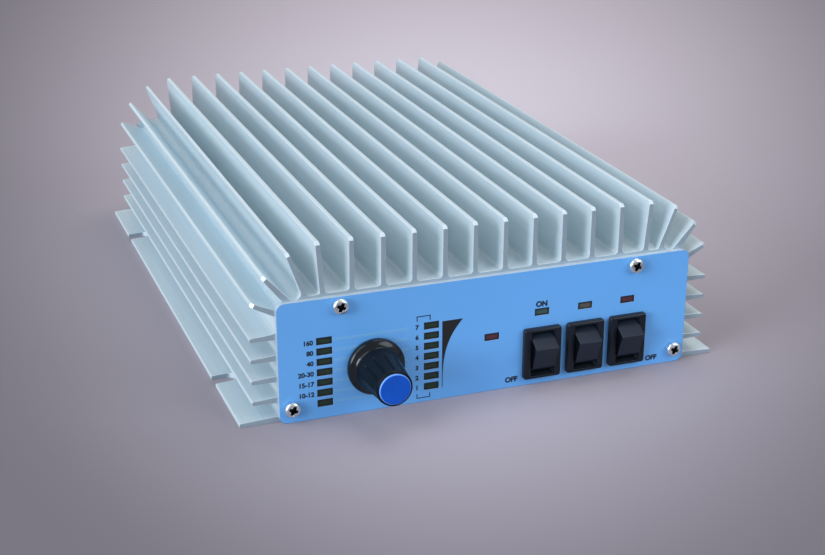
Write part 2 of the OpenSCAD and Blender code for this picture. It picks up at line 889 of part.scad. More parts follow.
module board_spacers() {
    color("#C8A456")
    for (x = [-board_fix_x, board_fix_x], y = board_fix_ys)
        translate([x, y, board_top_z])
            difference() {
                cylinder(d = spacer_d, h = board_gap, $fn = 6);
                translate([0, 0, -cut])
                    cylinder(r = hole_r, h = board_gap + 2 * cut);
            }
}

module board_screws() {
    color("#C9CDD2")
    for (x = [-board_fix_x, board_fix_x], y = board_fix_ys)
        translate([x, y, board_low_z])
            pan_screw(board_t + board_gap + fix_grip);
}

module rf_transistors() {
    plate_z = channel_z - transistor_plate_t;
    color("#D8D2C4")
    for (p = transistor_places)
        translate([p.x, p.y, 0])
            difference() {
                union() {
                    block([-flange_d / 2, -flange_l / 2, plate_z], [flange_d / 2, flange_l / 2, channel_z]);
                    translate([0, 0, board_top_z])
                        cylinder(d = flange_d, h = plate_z - board_top_z);
                    translate([0, 0, board_top_z - 1])
                        cylinder(d = lid_d, h = 1);
                    translate([-tab_size.x / 2, -tab_size.y / 2, board_top_z])
                        cube(tab_size);
                }
                for (end = [-1, 1])
                    translate([0, end * flange_screw_y, plate_z - cut])
                        cylinder(r = hole_r, h = transistor_plate_t + 2 * cut);
            }
}

module transistor_screws() {
    color("#C9CDD2")
    for (p = transistor_places, end = [-1, 1])
        translate([p.x, p.y + end * flange_screw_y, channel_z - transistor_plate_t])
            pan_screw(transistor_plate_t + fix_grip);
}

module output_core() {
    color("#4A4C50")
    for (side = [-1, 1])
        difference() {
            rod_y(side * (core_d / 2 + 0.5), board_low_z - core_d / 2 - 0.5, core_d / 2,
                core_y - core_l / 2, core_l);
            rod_y(side * (core_d / 2 + 0.5), board_low_z - core_d / 2 - 0.5, tube_d / 2 + fit,
                core_y - core_l / 2 - cut, core_l + 2 * cut);
        }
}

module output_tubes() {
    color("#C8A456")
    difference() {
        union() {
            for (end = [-1, 1])
                translate([0, core_y + end * (core_l + end_plate_t) / 2, 0])
                    block([-core_d - 1, -end_plate_t / 2, board_low_z - core_d - 1],
                        [core_d + 1, end_plate_t / 2, board_low_z]);
            for (side = [-1, 1])
                rod_y(side * (core_d / 2 + 0.5), board_low_z - core_d / 2 - 0.5, tube_d / 2,
                    core_y - core_l / 2, core_l);
        }
        for (side = [-1, 1])
            rod_y(side * (core_d / 2 + 0.5), board_low_z - core_d / 2 - 0.5, tube_d / 2 - 0.5,
                core_y - core_l, 2 * core_l);
    }
}

module input_transformer() {
    color("#4A4C50")
    difference() {
        translate([-input_size.x / 2, input_y - input_size.y / 2, board_low_z - input_size.z])
            cube(input_size);
        for (side = [-1, 1])
            rod_y(side * input_size.x * 0.21, board_low_z - input_size.z / 2, input_bore_d / 2,
                input_y - input_size.y / 2 - cut, input_size.y + 2 * cut);
    }
}

module filter_toroids() {
    color("#B5402E")
    for (x = toroid_xs)
        translate([x, toroid_y, board_low_z - toroid_h])
            difference() {
                cylinder(d = toroid_d, h = toroid_h);
                translate([0, 0, -cut])
                    cylinder(d = toroid_bore, h = toroid_h + 2 * cut);
            }
}

module band_relays() {
    color("#26282C")
    for (x = relay_xs, y = relay_ys)
        translate([x, y - relay_size.y / 2, board_low_z - relay_size.z])
            cube(relay_size);
}

module supply_capacitors() {
    color("#23324F")
    for (c = capacitor_places)
        translate([c[0], c[1], board_low_z - c[3]])
            cylinder(d = c[2], h = c[3]);
}

// ------------------------------------------------------------ coaxial sockets
socket_corners = [for (i = [-1, 1], j = [-1, 1]) [i * socket_pitch / 2, j * socket_pitch / 2]];
socket_front_y = rear_face_y + socket_plate_t;
socket_tip_y = socket_front_y + socket_barrel_l;
socket_sleeve_y = rear_y - 2;
socket_tail_y = rear_y - 14;

module coaxial_socket(x) {
    difference() {
        union() {
            translate([x, 0, socket_z])
                along_y(rear_face_y, socket_plate_t)
                    polygon(rounded(block_outline(socket_flange, socket_flange, 1.5), 4));
            rod_y(x, socket_z, socket_d / 2, socket_front_y, socket_barrel_l);
            rod_y(x, socket_z, socket_sleeve_d / 2, socket_sleeve_y, rear_face_y - socket_sleeve_y);
        }
        rod_y(x, socket_z, socket_bore_d / 2, socket_sleeve_y - cut, socket_tip_y - socket_sleeve_y + 2 * cut);
        for (p = socket_corners)
            rod_y(x + p.x, socket_z + p.y, hole_r, rear_face_y - cut, socket_plate_t + 2 * cut);
    }
}

module antenna_socket() {
    color("#C9CDD2")
    coaxial_socket(socket_x);
}

module input_socket() {
    color("#C9CDD2")
    coaxial_socket(-socket_x);
}

module socket_insulators() {
    color("#E9E4D6")
    for (x = [-socket_x, socket_x])
        difference() {
            rod_y(x, socket_z, socket_bore_d / 2 - thread_fit, socket_sleeve_y,
                socket_tip_y - 1 - socket_sleeve_y);
            rod_y(x, socket_z, contact_d / 2 + thread_fit, socket_sleeve_y - cut, socket_barrel_l * 3);
        }
}

module socket_contacts() {
    color("#C8A456")
    for (x = [-socket_x, socket_x])
        difference() {
            union() {
                rod_y(x, socket_z, contact_d / 2, socket_sleeve_y, socket_tip_y - 1.5 - socket_sleeve_y);
                rod_y(x, socket_z, tail_d / 2, socket_tail_y, socket_sleeve_y - socket_tail_y);
            }
            rod_y(x, socket_z, contact_bore_d / 2, socket_tip_y - 1.5 - contact_bore_l, contact_bore_l + cut);
        }
}

module socket_screws() {
    color("#C9CDD2")
    for (x = [-socket_x, socket_x], p = socket_corners)
        screw_y(x + p.x, socket_front_y, socket_z + p.y, socket_plate_t + panel_t + 4, -1);
}

module socket_nuts() {
    color("#C9CDD2")
    for (x = [-socket_x, socket_x], p = socket_corners)
        translate([x + p.x, rear_y, socket_z + p.y])
            rotate([90, 0, 0])
                hex_nut(5.5, 2.4, hole_r);
}

// leads from the sockets and the remote jack up to the main board
module signal_leads() {
    color("#8E959C")
    for (p = [[-socket_x, socket_z, tail_d, socket_tail_y], [socket_x, socket_z, tail_d, socket_tail_y],
        [jack_x, jack_z, jack_tail_d, jack_tail_y]])
        translate([p[0], p[3] + 2, p[1] + p[2] / 2 - 0.3])
            difference() {
                cylinder(d = lead_d, h = board_low_z - p[1] - p[2] / 2 + 0.3);
                rod_y(0, 0.3 - p[2] / 2, p[2] / 2, -lead_d, 2 * lead_d);
            }
}

// ------------------------------------------------------------ fuses
fuse_wall = 2;
fuse_flange = 2;
fuse_body_w = fuse_pitch * (fuse_count - 1) + fuse_t + 2 * fuse_wall;
fuse_body_h = fuse_h + 2 * fuse_wall;
fuse_face_w = fuse_body_w + 2 * fuse_flange;
fuse_face_h = fuse_body_h + 2 * fuse_flange;
fuse_xs = [for (k = [0 : fuse_count - 1]) fuse_x + (k - (fuse_count - 1) / 2) * fuse_pitch];
fuse_front_y = rear_face_y + fuse_plate_t;
fuse_back_y = rear_face_y - fuse_depth;
fuse_seat_y = fuse_front_y + fuse_out - fuse_l;
fuse_blade_w = 5.2;
fuse_blade_t = 0.7;
fuse_blade_l = 7;
fuse_blade_z = 6.9;

module fuse_block() {
    color("#17181A")
    difference() {
        union() {
            translate([fuse_x, 0, fuse_z])
                along_y(rear_face_y, fuse_plate_t)
                    polygon(rounded(block_outline(fuse_face_w, fuse_face_h, 1.5), 4));
            block([fuse_x - fuse_body_w / 2, fuse_back_y, fuse_z - fuse_body_h / 2],
                [fuse_x + fuse_body_w / 2, rear_face_y, fuse_z + fuse_body_h / 2]);
        }
        for (x = fuse_xs) {
            block([x - fuse_t / 2 - fit, fuse_seat_y, fuse_z - fuse_h / 2 - fit],
                [x + fuse_t / 2 + fit, fuse_front_y + cut, fuse_z + fuse_h / 2 + fit]);
            for (end = [-1, 1])
                translate([x, 0, fuse_z + end * fuse_blade_z])
                    block([-fuse_blade_t / 2 - fit, fuse_seat_y - fuse_blade_l - 0.3, -fuse_blade_w / 2 - fit],
                        [fuse_blade_t / 2 + fit, fuse_seat_y + cut, fuse_blade_w / 2 + fit]);
        }
    }
}

module fuse_bodies() {
    color("#D9A521")
    for (x = fuse_xs)
        translate([x, 0, fuse_z])
            difference() {
                along_y(fuse_seat_y, fuse_l)
                    polygon(rounded(block_outline(fuse_t, fuse_h, 0.8), 3));
                block([-1.3, fuse_seat_y + fuse_l - 0.8, -4], [1.3, fuse_seat_y + fuse_l + cut, 4]);
            }
}

module fuse_blades() {
    color("#C3C8CC")
    for (x = fuse_xs, end = [-1, 1])
        translate([x, 0, fuse_z + end * fuse_blade_z])
            block([-fuse_blade_t / 2, fuse_seat_y - fuse_blade_l, -fuse_blade_w / 2],
                [fuse_blade_t / 2, fuse_seat_y, fuse_blade_w / 2]);
}

module fuse_terminals() {
    color("#C8A456")
    for (x = fuse_xs, end = [-1, 1])
        translate([x, fuse_back_y - blade_l, fuse_z + end * fuse_blade_z])
            block([-blade_t / 2, 0, -blade_w / 2], [blade_t / 2, blade_l, blade_w / 2]);
}

module supply_leads() {
    turns = [2, 5];
    color("#A81F26")
    for (x = fuse_xs, k = [0, 1])
        mirror([0, 1, 0])
            lead(x, blade_l - fuse_back_y, fuse_z + (1 - 2 * k) * fuse_blade_z,
                blade_l - fuse_back_y + turns[k]);
}

// ------------------------------------------------------------ grommet and remote jack
grommet_neck_r = cord_d / 2 + 1.8;
grommet_lip_r = grommet_neck_r + 1.7;
jack_flange_r = 5.6;
jack_front_y = rear_face_y + 1.5;
jack_l = 8;
jack_bore_d = 6.6;
jack_tail_d = 1.6;
jack_tail_y = rear_y - 13;

module cord_grommet() {
    inner = rear_y - fit;
    outer = rear_face_y + fit;
    color("#1B1B1D")
    translate([grommet_x, 0, grommet_z])
        rotate([-90, 0, 0])
            rotate_extrude()
                polygon([[cord_d / 2, inner - 2], [grommet_lip_r - 0.8, inner - 2], [grommet_lip_r, inner - 1],
                    [grommet_lip_r, inner], [grommet_neck_r, inner], [grommet_neck_r, outer],
                    [grommet_lip_r, outer], [grommet_lip_r, outer + 1], [grommet_lip_r - 0.8, outer + 2],
                    [cord_d / 2, outer + 2]]);
}

module remote_jack() {
    color("#C9CDD2")
    difference() {
        union() {
            rod_y(jack_x, jack_z, jack_flange_r, rear_face_y, 1.5);
            rod_y(jack_x, jack_z, jack_d / 2, jack_front_y, jack_l);
            rod_y(jack_x, jack_z, jack_d / 2, rear_y - 5, panel_t + 5);
        }
        rod_y(jack_x, jack_z, jack_bore_d / 2, rear_y - 5 - cut, jack_l + 12);
    }
}

module remote_insulator() {
    color("#D8D8D4")
    difference() {
        rod_y(jack_x, jack_z, jack_bore_d / 2 - thread_fit, rear_y - 5, jack_front_y + jack_l - 1 - rear_y + 5);
        rod_y(jack_x, jack_z, 2.2 + thread_fit, rear_y - 5 - cut, jack_l + 12);
    }
}

module remote_contact() {
    color("#C8A456")
    difference() {
        union() {
            rod_y(jack_x, jack_z, 2.2, rear_y - 5, jack_front_y + jack_l - 1.5 - rear_y + 5);
            rod_y(jack_x, jack_z, jack_tail_d / 2, jack_tail_y, rear_y - 5 - jack_tail_y);
        }
        rod_y(jack_x, jack_z, 1.6, jack_front_y + jack_l - 1.5 - 7, 7 + cut);
    }
}

module remote_nut() {
    color("#C9CDD2")
    translate([jack_x, rear_y, jack_z])
        rotate([90, 0, 0])
            hex_nut(11, 2.2, jack_d / 2 + thread_fit);
}

heatsink_housing();
bottom_cover();
cover_screws();
front_panel();
rear_panel();
front_panel_screws();
rear_panel_screws();
selector_knob();
knob_cap();
knob_collet();
selector_shaft();
selector_switch();
selector_nut();
power_switch_body();
attenuator_switch_body();
delay_switch_body();
power_rocker();
attenuator_rocker();
delay_rocker();
switch_terminals();
switch_leads();
band_leds();
output_leds();
protection_led();
power_led();
attenuator_led();
transmit_led();
display_board();
display_spacers();
display_screws();
display_header();
main_board();
board_spacers();
board_screws();
rf_transistors();
transistor_screws();
output_core();
output_tubes();
input_transformer();
filter_toroids();
band_relays();
supply_capacitors();
antenna_socket();
input_socket();
socket_insulators();
socket_contacts();
socket_screws();
socket_nuts();
signal_leads();
fuse_block();
fuse_bodies();
fuse_blades();
fuse_terminals();
supply_leads();
cord_grommet();
remote_jack();
remote_insulator();
remote_contact();
remote_nut();
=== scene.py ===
import json
import math
import bmesh
import bpy
from mathutils import Matrix, Vector


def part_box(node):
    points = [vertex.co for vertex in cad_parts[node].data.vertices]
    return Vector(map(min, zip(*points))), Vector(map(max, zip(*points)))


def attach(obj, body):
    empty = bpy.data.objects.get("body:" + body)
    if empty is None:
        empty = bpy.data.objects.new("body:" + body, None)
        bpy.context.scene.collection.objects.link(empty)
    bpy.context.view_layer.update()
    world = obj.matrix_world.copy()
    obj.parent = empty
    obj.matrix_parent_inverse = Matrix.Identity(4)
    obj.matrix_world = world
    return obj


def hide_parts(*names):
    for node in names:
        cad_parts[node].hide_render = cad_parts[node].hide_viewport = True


# Finned aluminium amplifier with a blue control panel, dressed for a still picture.
# The scene is in metres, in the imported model's frame. New pieces are drawn in mm and scaled at the end.

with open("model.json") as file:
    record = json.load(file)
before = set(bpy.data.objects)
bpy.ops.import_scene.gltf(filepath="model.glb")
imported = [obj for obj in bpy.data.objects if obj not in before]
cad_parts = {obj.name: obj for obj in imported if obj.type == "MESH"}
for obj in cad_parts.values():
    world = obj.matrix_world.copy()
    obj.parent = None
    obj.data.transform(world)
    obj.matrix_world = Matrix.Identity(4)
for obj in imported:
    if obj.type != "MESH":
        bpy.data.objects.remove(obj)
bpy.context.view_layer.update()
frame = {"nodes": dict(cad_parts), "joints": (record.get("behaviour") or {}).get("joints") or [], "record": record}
scene = bpy.context.scene
mm = 0.001


# helpers for materials

def srgb(hexText):
    # colour as picked on screen, turned to the linear values that the shader wants
    channels = [int(hexText[k:k + 2], 16) / 255 for k in (1, 3, 5)]
    linear = [c / 12.92 if c <= 0.04045 else ((c + 0.055) / 1.055) ** 2.4 for c in channels]
    return (*linear, 1.0)


def perMm(size):
    # texture scale for a feature of this many millimetres, on coordinates in metres
    return 1 / (size * mm)


def setSockets(tree, node, sockets):
    # a socket's value is linked if it is another node's output, or else set
    for name, value in sockets.items():
        if isinstance(value, bpy.types.NodeSocket):
            tree.links.new(value, node.inputs[name])
        else:
            node.inputs[name].default_value = value


def addNode(tree, kind, sockets=None, **settings):
    # one node with its settings and its sockets' links or values
    made = tree.nodes.new("ShaderNode" + kind)
    for name, value in settings.items():
        setattr(made, name, value)
    setSockets(tree, made, sockets or {})
    return made


def newMaterial(name, settings=None):
    # an empty material round one Principled shader; constants such as Roughness stand on its own sockets
    material = bpy.data.materials.new(name)
    material.use_nodes = True
    tree = material.node_tree
    tree.nodes.clear()
    shader = addNode(tree, "BsdfPrincipled", settings)
    addNode(tree, "OutputMaterial", {"Surface": shader.outputs["BSDF"]})
    return material, tree, shader


def objectPoint(tree, stretch=(1, 1, 1)):
    # object coordinates, squeezed along an axis where the pattern runs that way
    place = addNode(tree, "TexCoord")
    return addNode(tree, "Mapping", {"Vector": place.outputs["Object"], "Scale": stretch}).outputs["Vector"]


def facingAlong(tree, axis):
    # 1 on a face that looks along this axis, either way, and 0 on one that looks across it
    normal = addNode(tree, "TexCoord").outputs["Normal"]
    along = addNode(tree, "SeparateXYZ", {"Vector": normal}).outputs[axis]
    return addNode(tree, "Math", {0: along}, operation="ABSOLUTE").outputs["Value"]


def shaded(tree, colour, pattern, share):
    # the colour made darker and lighter by a 0 to 1 pattern, by up to this share of itself
    # on a Mix node, socket 0 is the factor, and 6 and 7 are the colours
    ends = [tuple(min(1, c * (1 + side * share)) for c in colour[:3]) + (1,) for side in (-1, 1)]
    return addNode(tree, "Mix", {0: pattern, 6: ends[0], 7: ends[1]}, data_type="RGBA").outputs[2]


def softSurface(tree, edge, grain=None, strength=0, depth=0):
    # edges rounded in the shading, so that they catch light as real ones do, and a grain raised over them
    rounded = addNode(tree, "Bevel", {"Radius": edge * mm}, samples=6).outputs["Normal"]
    if grain is None:
        return rounded
    return addNode(tree, "Bump", {"Height": grain, "Strength": strength, "Distance": depth * mm,
                                  "Normal": rounded}).outputs["Normal"]


def edgeShare(tree, rounded):
    # 0 on a flat, 1 on an edge
    flat = addNode(tree, "NewGeometry").outputs["Normal"]
    lean = addNode(tree, "VectorMath", {0: rounded, 1: flat}, operation="DOT_PRODUCT")
    return addNode(tree, "MapRange", {"Value": lean.outputs["Value"], "From Min": 0.995, "From Max": 0.86,
                                      "To Min": 0.0, "To Max": 1.0}).outputs["Result"]


# metals

housingFinish = {
    "colour": "#CBDAE0",     # pale grey-blue
    "sawnShadedColour": "#9CAEB9", # the two ends: a duller sawn face, painted darker still as painted shade
    "edgeColour": "#E2EDF3", # edges, painted bright: a painted highlight where rounded edges catch light
    "sawnFrom": 0.9, "sawnTo": 0.98, # how squarely a face looks along Y before it counts as an end
    "grit": 0.35,            # blasting grain in mm; a real one is 0.1, which would not show
    "dieLine": 0.9,          # width in mm of the faint lines that the extrusion die leaves
    "cloud": 38,             # size in mm of the slow changes in tone
    "toneShare": 0.14,       # how far the tone goes up and down
    "edge": 0.24,            # how wide the painted edge highlights are, in mm
    "metallic": 0.38, "roughLow": 0.38, "roughHigh": 0.5,
}


def blastedAluminium(name, finish):
    # extruded, blasted and clear anodised aluminium: silky and even, with painted highlights along its thin edges
    material, tree, shader = newMaterial(name, {"Metallic": finish["metallic"]})
    lines = addNode(tree, "TexNoise", {"Vector": objectPoint(tree, (1, 0.015, 1)),
                                       "Scale": perMm(finish["dieLine"]), "Detail": 3.0}).outputs["Fac"]
    cloud = addNode(tree, "TexNoise", {"Vector": objectPoint(tree, (1, 0.4, 1)),
                                       "Scale": perMm(finish["cloud"]), "Detail": 2.0}).outputs["Fac"]
    grit = addNode(tree, "TexNoise", {"Vector": objectPoint(tree), "Scale": perMm(finish["grit"]),
                                      "Detail": 2.0}).outputs["Fac"]
    tone = addNode(tree, "Math", {0: lines, 1: cloud}, operation="ADD")
    tone = addNode(tree, "Math", {0: tone.outputs["Value"], 1: 0.5}, operation="MULTIPLY")
    colour = shaded(tree, srgb(finish["colour"]), tone.outputs["Value"], finish["toneShare"])
    sawnAndShaded = addNode(tree, "MapRange", {"Value": facingAlong(tree, "Y"), "From Min": finish["sawnFrom"],
                                      "From Max": finish["sawnTo"]}).outputs["Result"]
    rounded = softSurface(tree, finish["edge"])
    # the ends take the sawn colour with painted shade on it, and the edges a painted highlight
    for share, tint in ((sawnAndShaded, "sawnShadedColour"), (edgeShare(tree, rounded), "edgeColour")):
        mixed = addNode(tree, "Mix", {0: share, 6: colour, 7: srgb(finish[tint])}, data_type="RGBA")
        colour = mixed.outputs[2]
    rough = addNode(tree, "MapRange", {"Value": grit, "To Min": finish["roughLow"],
                                       "To Max": finish["roughHigh"]})
    bump = addNode(tree, "Bump", {"Height": grit, "Strength": 0.25, "Distance": 0.02 * mm, "Normal": rounded})
    bump = addNode(tree, "Bump", {"Height": lines, "Strength": 0.3, "Distance": 0.02 * mm,
                                  "Normal": bump.outputs["Normal"]})
    setSockets(tree, shader, {"Base Color": colour, "Roughness": rough.outputs["Result"],
                              "Normal": bump.outputs["Normal"]})
    return material


def rolledAluminium(name, colour, grain):
    # natural anodised sheet: fine parallel rolling marks along the grain, and a soft sheen
    material, tree, shader = newMaterial(name, {"Metallic": 0.85})
    marks = addNode(tree, "TexNoise", {"Vector": objectPoint(tree, grain), "Scale": perMm(0.5),
                                       "Detail": 4.0}).outputs["Fac"]
    rough = addNode(tree, "MapRange", {"Value": marks, "To Min": 0.28, "To Max": 0.44})
    setSockets(tree, shader, {"Base Color": shaded(tree, srgb(colour), marks, 0.1),
                              "Roughness": rough.outputs["Result"],
                              "Normal": softSurface(tree, 0.2, marks, 0.2, 0.01)})
    return material


def platedMetal(name, colour, roughness, mottle):
    # plated or drawn metal: a clear reflection, broken slightly by handling
    material, tree, shader = newMaterial(name, {"Metallic": 1.0})
    film = addNode(tree, "TexNoise", {"Vector": objectPoint(tree), "Scale": perMm(mottle),
                                      "Detail": 3.0}).outputs["Fac"]
    rough = addNode(tree, "MapRange", {"Value": film, "To Min": roughness * 0.75, "To Max": roughness * 1.3})
    setSockets(tree, shader, {"Base Color": shaded(tree, srgb(colour), film, 0.06),
                              "Roughness": rough.outputs["Result"], "Normal": softSurface(tree, 0.12)})
    return material


# paint, print and plastics

panelFinish = {
    "colour": "#65AAEB",     # light blue
    "edgeColour": "#D3DEE6", # cut edge of the sheet, which the lacquer leaves bare
    "bareFrom": 0.75, "bareTo": 0.55, # how far a face turns from the front before it counts as cut edge
    "bareMetal": 0.6,        # how metallic the cut edge is
    "peel": 1.1,             # size in mm of the slight waves in the lacquer
    "cloud": 45,             # size in mm of the slow changes in tone
    "toneShare": 0.07,       # how far the tone goes up and down
    "roughness": 0.38, "coat": 0.15, "coatRoughness": 0.25,
}


def panelLacquer(name, finish):
    # stoved lacquer on an aluminium sheet: flat light blue, satin, with a bare bright cut edge
    material, tree, shader = newMaterial(name, {"Roughness": finish["roughness"],
                                                "Coat Weight": finish["coat"],
                                                "Coat Roughness": finish["coatRoughness"]})
    peel = addNode(tree, "TexNoise", {"Vector": objectPoint(tree), "Scale": perMm(finish["peel"]),
                                      "Detail": 2.0}).outputs["Fac"]
    cloud = addNode(tree, "TexNoise", {"Vector": objectPoint(tree), "Scale": perMm(finish["cloud"]),
                                       "Detail": 2.0}).outputs["Fac"]
    lacquer = shaded(tree, srgb(finish["colour"]), cloud, finish["toneShare"])
    bare = addNode(tree, "MapRange", {"Value": facingAlong(tree, "Y"), "From Min": finish["bareFrom"],
                                      "From Max": finish["bareTo"]}).outputs["Result"]
    mixed = addNode(tree, "Mix", {0: bare, 6: lacquer, 7: srgb(finish["edgeColour"])}, data_type="RGBA")
    metal = addNode(tree, "Math", {0: bare, 1: finish["bareMetal"]}, operation="MULTIPLY")
    setSockets(tree, shader, {"Base Color": mixed.outputs[2], "Metallic": metal.outputs["Value"],
                              "Normal": softSurface(tree, 0.25, peel, 0.12, 0.03)})
    return material


def screenInk(name, colour):
    # screen-printed ink: flat and slightly uneven where the mesh laid it down
    material, tree, shader = newMaterial(name, {"Roughness": 0.5})
    laid = addNode(tree, "TexNoise", {"Vector": objectPoint(tree), "Scale": perMm(0.4), "Detail": 2.0})
    setSockets(tree, shader, {"Base Color": shaded(tree, srgb(colour), laid.outputs["Fac"], 0.15)})
    return material


def mouldedPlastic(name, colour, roughness, grain, edge=0.2):
    # injection-moulded plastic: a fine spark-eroded grain from the mould, and soft edges
    material, tree, shader = newMaterial(name)
    texture = addNode(tree, "TexNoise", {"Vector": objectPoint(tree), "Scale": perMm(grain),
                                         "Detail": 2.0}).outputs["Fac"]
    flow = addNode(tree, "TexNoise", {"Vector": objectPoint(tree), "Scale": perMm(9.0),
                                      "Detail": 2.0}).outputs["Fac"]
    rough = addNode(tree, "MapRange", {"Value": flow, "To Min": roughness * 0.85, "To Max": roughness * 1.15})
    setSockets(tree, shader, {"Base Color": shaded(tree, srgb(colour), flow, 0.12),
                              "Roughness": rough.outputs["Result"],
                              "Normal": softSurface(tree, edge, texture, 0.18, 0.02)})
    return material


def rockerNylon(name, colour, sideColour):
    # moulded nylon: a fine satin grain on the faces that are pressed, and polished darker sides
    material, tree, shader = newMaterial(name, {"IOR": 1.4})
    grain = addNode(tree, "TexNoise", {"Vector": objectPoint(tree), "Scale": perMm(0.4),
                                       "Detail": 2.0}).outputs["Fac"]
    side = addNode(tree, "MapRange", {"Value": facingAlong(tree, "X"), "From Min": 0.7,
                                      "From Max": 0.95}).outputs["Result"]
    pressed = shaded(tree, srgb(colour), grain, 0.2)
    mixed = addNode(tree, "Mix", {0: side, 6: pressed, 7: srgb(sideColour)}, data_type="RGBA")
    rough = addNode(tree, "MapRange", {"Value": side, "To Min": 0.42, "To Max": 0.16})
    setSockets(tree, shader, {"Base Color": mixed.outputs[2], "Roughness": rough.outputs["Result"],
                              "Normal": softSurface(tree, 0.3, grain, 0.3, 0.02)})
    return material


def bezelNylon(name, colour, wellLitColour, faceY):
    # moulded nylon: polished on the rim, and rough in the well behind it, as it left the mould; the well is
    # painted paler, as painted light that makes up for the shade in it
    material, tree, shader = newMaterial(name, {"Specular IOR Level": 0.3})
    place = addNode(tree, "TexCoord").outputs["Object"]
    depth = addNode(tree, "SeparateXYZ", {"Vector": place}).outputs["Y"]
    inside = addNode(tree, "MapRange", {"Value": depth, "From Min": faceY + 0.55 * mm,
                                        "From Max": faceY + 0.9 * mm}).outputs["Result"]
    flow = addNode(tree, "TexNoise", {"Vector": place, "Scale": perMm(9.0), "Detail": 2.0}).outputs["Fac"]
    polished = shaded(tree, srgb(colour), flow, 0.12)
    # the well's paler colour is painted light against the shade inside it
    mixed = addNode(tree, "Mix", {0: inside, 6: polished, 7: srgb(wellLitColour)}, data_type="RGBA")
    rough = addNode(tree, "MapRange", {"Value": inside, "To Min": 0.24, "To Max": 0.6})
    setSockets(tree, shader, {"Base Color": mixed.outputs[2], "Roughness": rough.outputs["Result"],
                              "Normal": softSurface(tree, 0.3)})
    return material


def knobAbs(name, colour, footY):
    # moulded ABS: a polished skirt, and in front of footY a grip with a fine matt grain for the fingers
    material, tree, shader = newMaterial(name, {"Specular IOR Level": 0.12, "Coat Roughness": 0.12})
    place = addNode(tree, "TexCoord").outputs["Object"]
    along = addNode(tree, "SeparateXYZ", {"Vector": place}).outputs["Y"]
    grip = addNode(tree, "MapRange", {"Value": along, "From Min": footY + 0.5 * mm,
                                      "From Max": footY - 0.3 * mm}).outputs["Result"]
    grain = addNode(tree, "TexNoise", {"Vector": place, "Scale": perMm(0.4), "Detail": 2.0}).outputs["Fac"]
    rough = addNode(tree, "MapRange", {"Value": grip, "To Min": 0.2, "To Max": 0.36})
    polish = addNode(tree, "MapRange", {"Value": grip, "To Min": 0.45, "To Max": 0.0})
    strength = addNode(tree, "Math", {0: grip, 1: 0.2}, operation="MULTIPLY").outputs["Value"]
    setSockets(tree, shader, {"Base Color": shaded(tree, srgb(colour), grain, 0.15),
                              "Roughness": rough.outputs["Result"], "Coat Weight": polish.outputs["Result"],
                              "Normal": softSurface(tree, 0.12, grain, strength, 0.02)})
    return material


def capAbs(name, colour, rimHighlightColour, centre, rim):
    # glossy moulded ABS: deep blue, with a painted highlight as a pale ring along its rounded rim
    material, tree, shader = newMaterial(name, {"Roughness": 0.3, "Specular IOR Level": 0.3})
    place = addNode(tree, "TexCoord").outputs["Object"]
    flow = addNode(tree, "TexNoise", {"Vector": place, "Scale": perMm(4.0), "Detail": 2.0}).outputs["Fac"]
    middle = addNode(tree, "Mapping", {"Vector": place, "Location": (-centre.x, 0, -centre.z),
                                       "Scale": (1, 0, 1)})
    radius = addNode(tree, "VectorMath", {0: middle.outputs["Vector"]}, operation="LENGTH").outputs["Value"]
    ring = addNode(tree, "MapRange", {"Value": radius, "From Min": rim * mm,
                                      "From Max": (rim + 0.25) * mm}).outputs["Result"]
    face = shaded(tree, srgb(colour), flow, 0.2)
    # the pale ring at the rim is a painted highlight
    mixed = addNode(tree, "Mix", {0: ring, 6: face, 7: srgb(rimHighlightColour)}, data_type="RGBA")
    setSockets(tree, shader, {"Base Color": mixed.outputs[2], "Normal": softSurface(tree, 0.3)})
    return material


def lampEpoxy(name, colour, glow):
    # dyed, diffused epoxy, dark while unlit, with slow clouds in the dye
    material, tree, shader = newMaterial(name, {"Roughness": 0.32, "Specular IOR Level": 0.3})
    cloud = addNode(tree, "TexNoise", {"Vector": objectPoint(tree), "Scale": perMm(1.6),
                                       "Detail": 2.0}).outputs["Fac"]
    mixed = addNode(tree, "Mix", {0: cloud, 6: srgb(colour), 7: srgb(glow)}, data_type="RGBA")
    setSockets(tree, shader, {"Base Color": mixed.outputs[2], "Normal": softSurface(tree, 0.1)})
    return material


def clearTint(name, colour):
    # tinted clear polycarbonate, as on blade fuses
    material, tree, shader = newMaterial(name, {"Roughness": 0.16, "Transmission Weight": 0.35, "IOR": 1.58})
    depth = addNode(tree, "TexNoise", {"Vector": objectPoint(tree), "Scale": perMm(6.0),
                                       "Detail": 1.0}).outputs["Fac"]
    setSockets(tree, shader, {"Base Color": shaded(tree, srgb(colour), depth, 0.12),
                              "Normal": softSurface(tree, 0.25)})
    return material


boardFinish = {"mask": "#14492E", "track": "#2E7A4C", "trackPitch": 3.2} # pitch in mm


def boardLaminate(name, finish):
    # green solder mask over glass-epoxy board, with copper tracks showing through as paler lines
    material, tree, shader = newMaterial(name, {"Roughness": 0.3})
    tracks = addNode(tree, "TexVoronoi", {"Vector": objectPoint(tree), "Scale": perMm(finish["trackPitch"])},
                     feature="DISTANCE_TO_EDGE", distance="EUCLIDEAN").outputs["Distance"]
    line = addNode(tree, "MapRange", {"Value": tracks, "From Min": 0.05, "From Max": 0.12,
                                      "To Min": 1.0, "To Max": 0.0}).outputs["Result"]
    mixed = addNode(tree, "Mix", {0: line, 6: srgb(finish["mask"]), 7: srgb(finish["track"])},
                    data_type="RGBA")
    bump = addNode(tree, "Bump", {"Height": line, "Strength": 0.4, "Distance": 0.03 * mm})
    setSockets(tree, shader, {"Base Color": mixed.outputs[2], "Normal": bump.outputs["Normal"]})
    return material


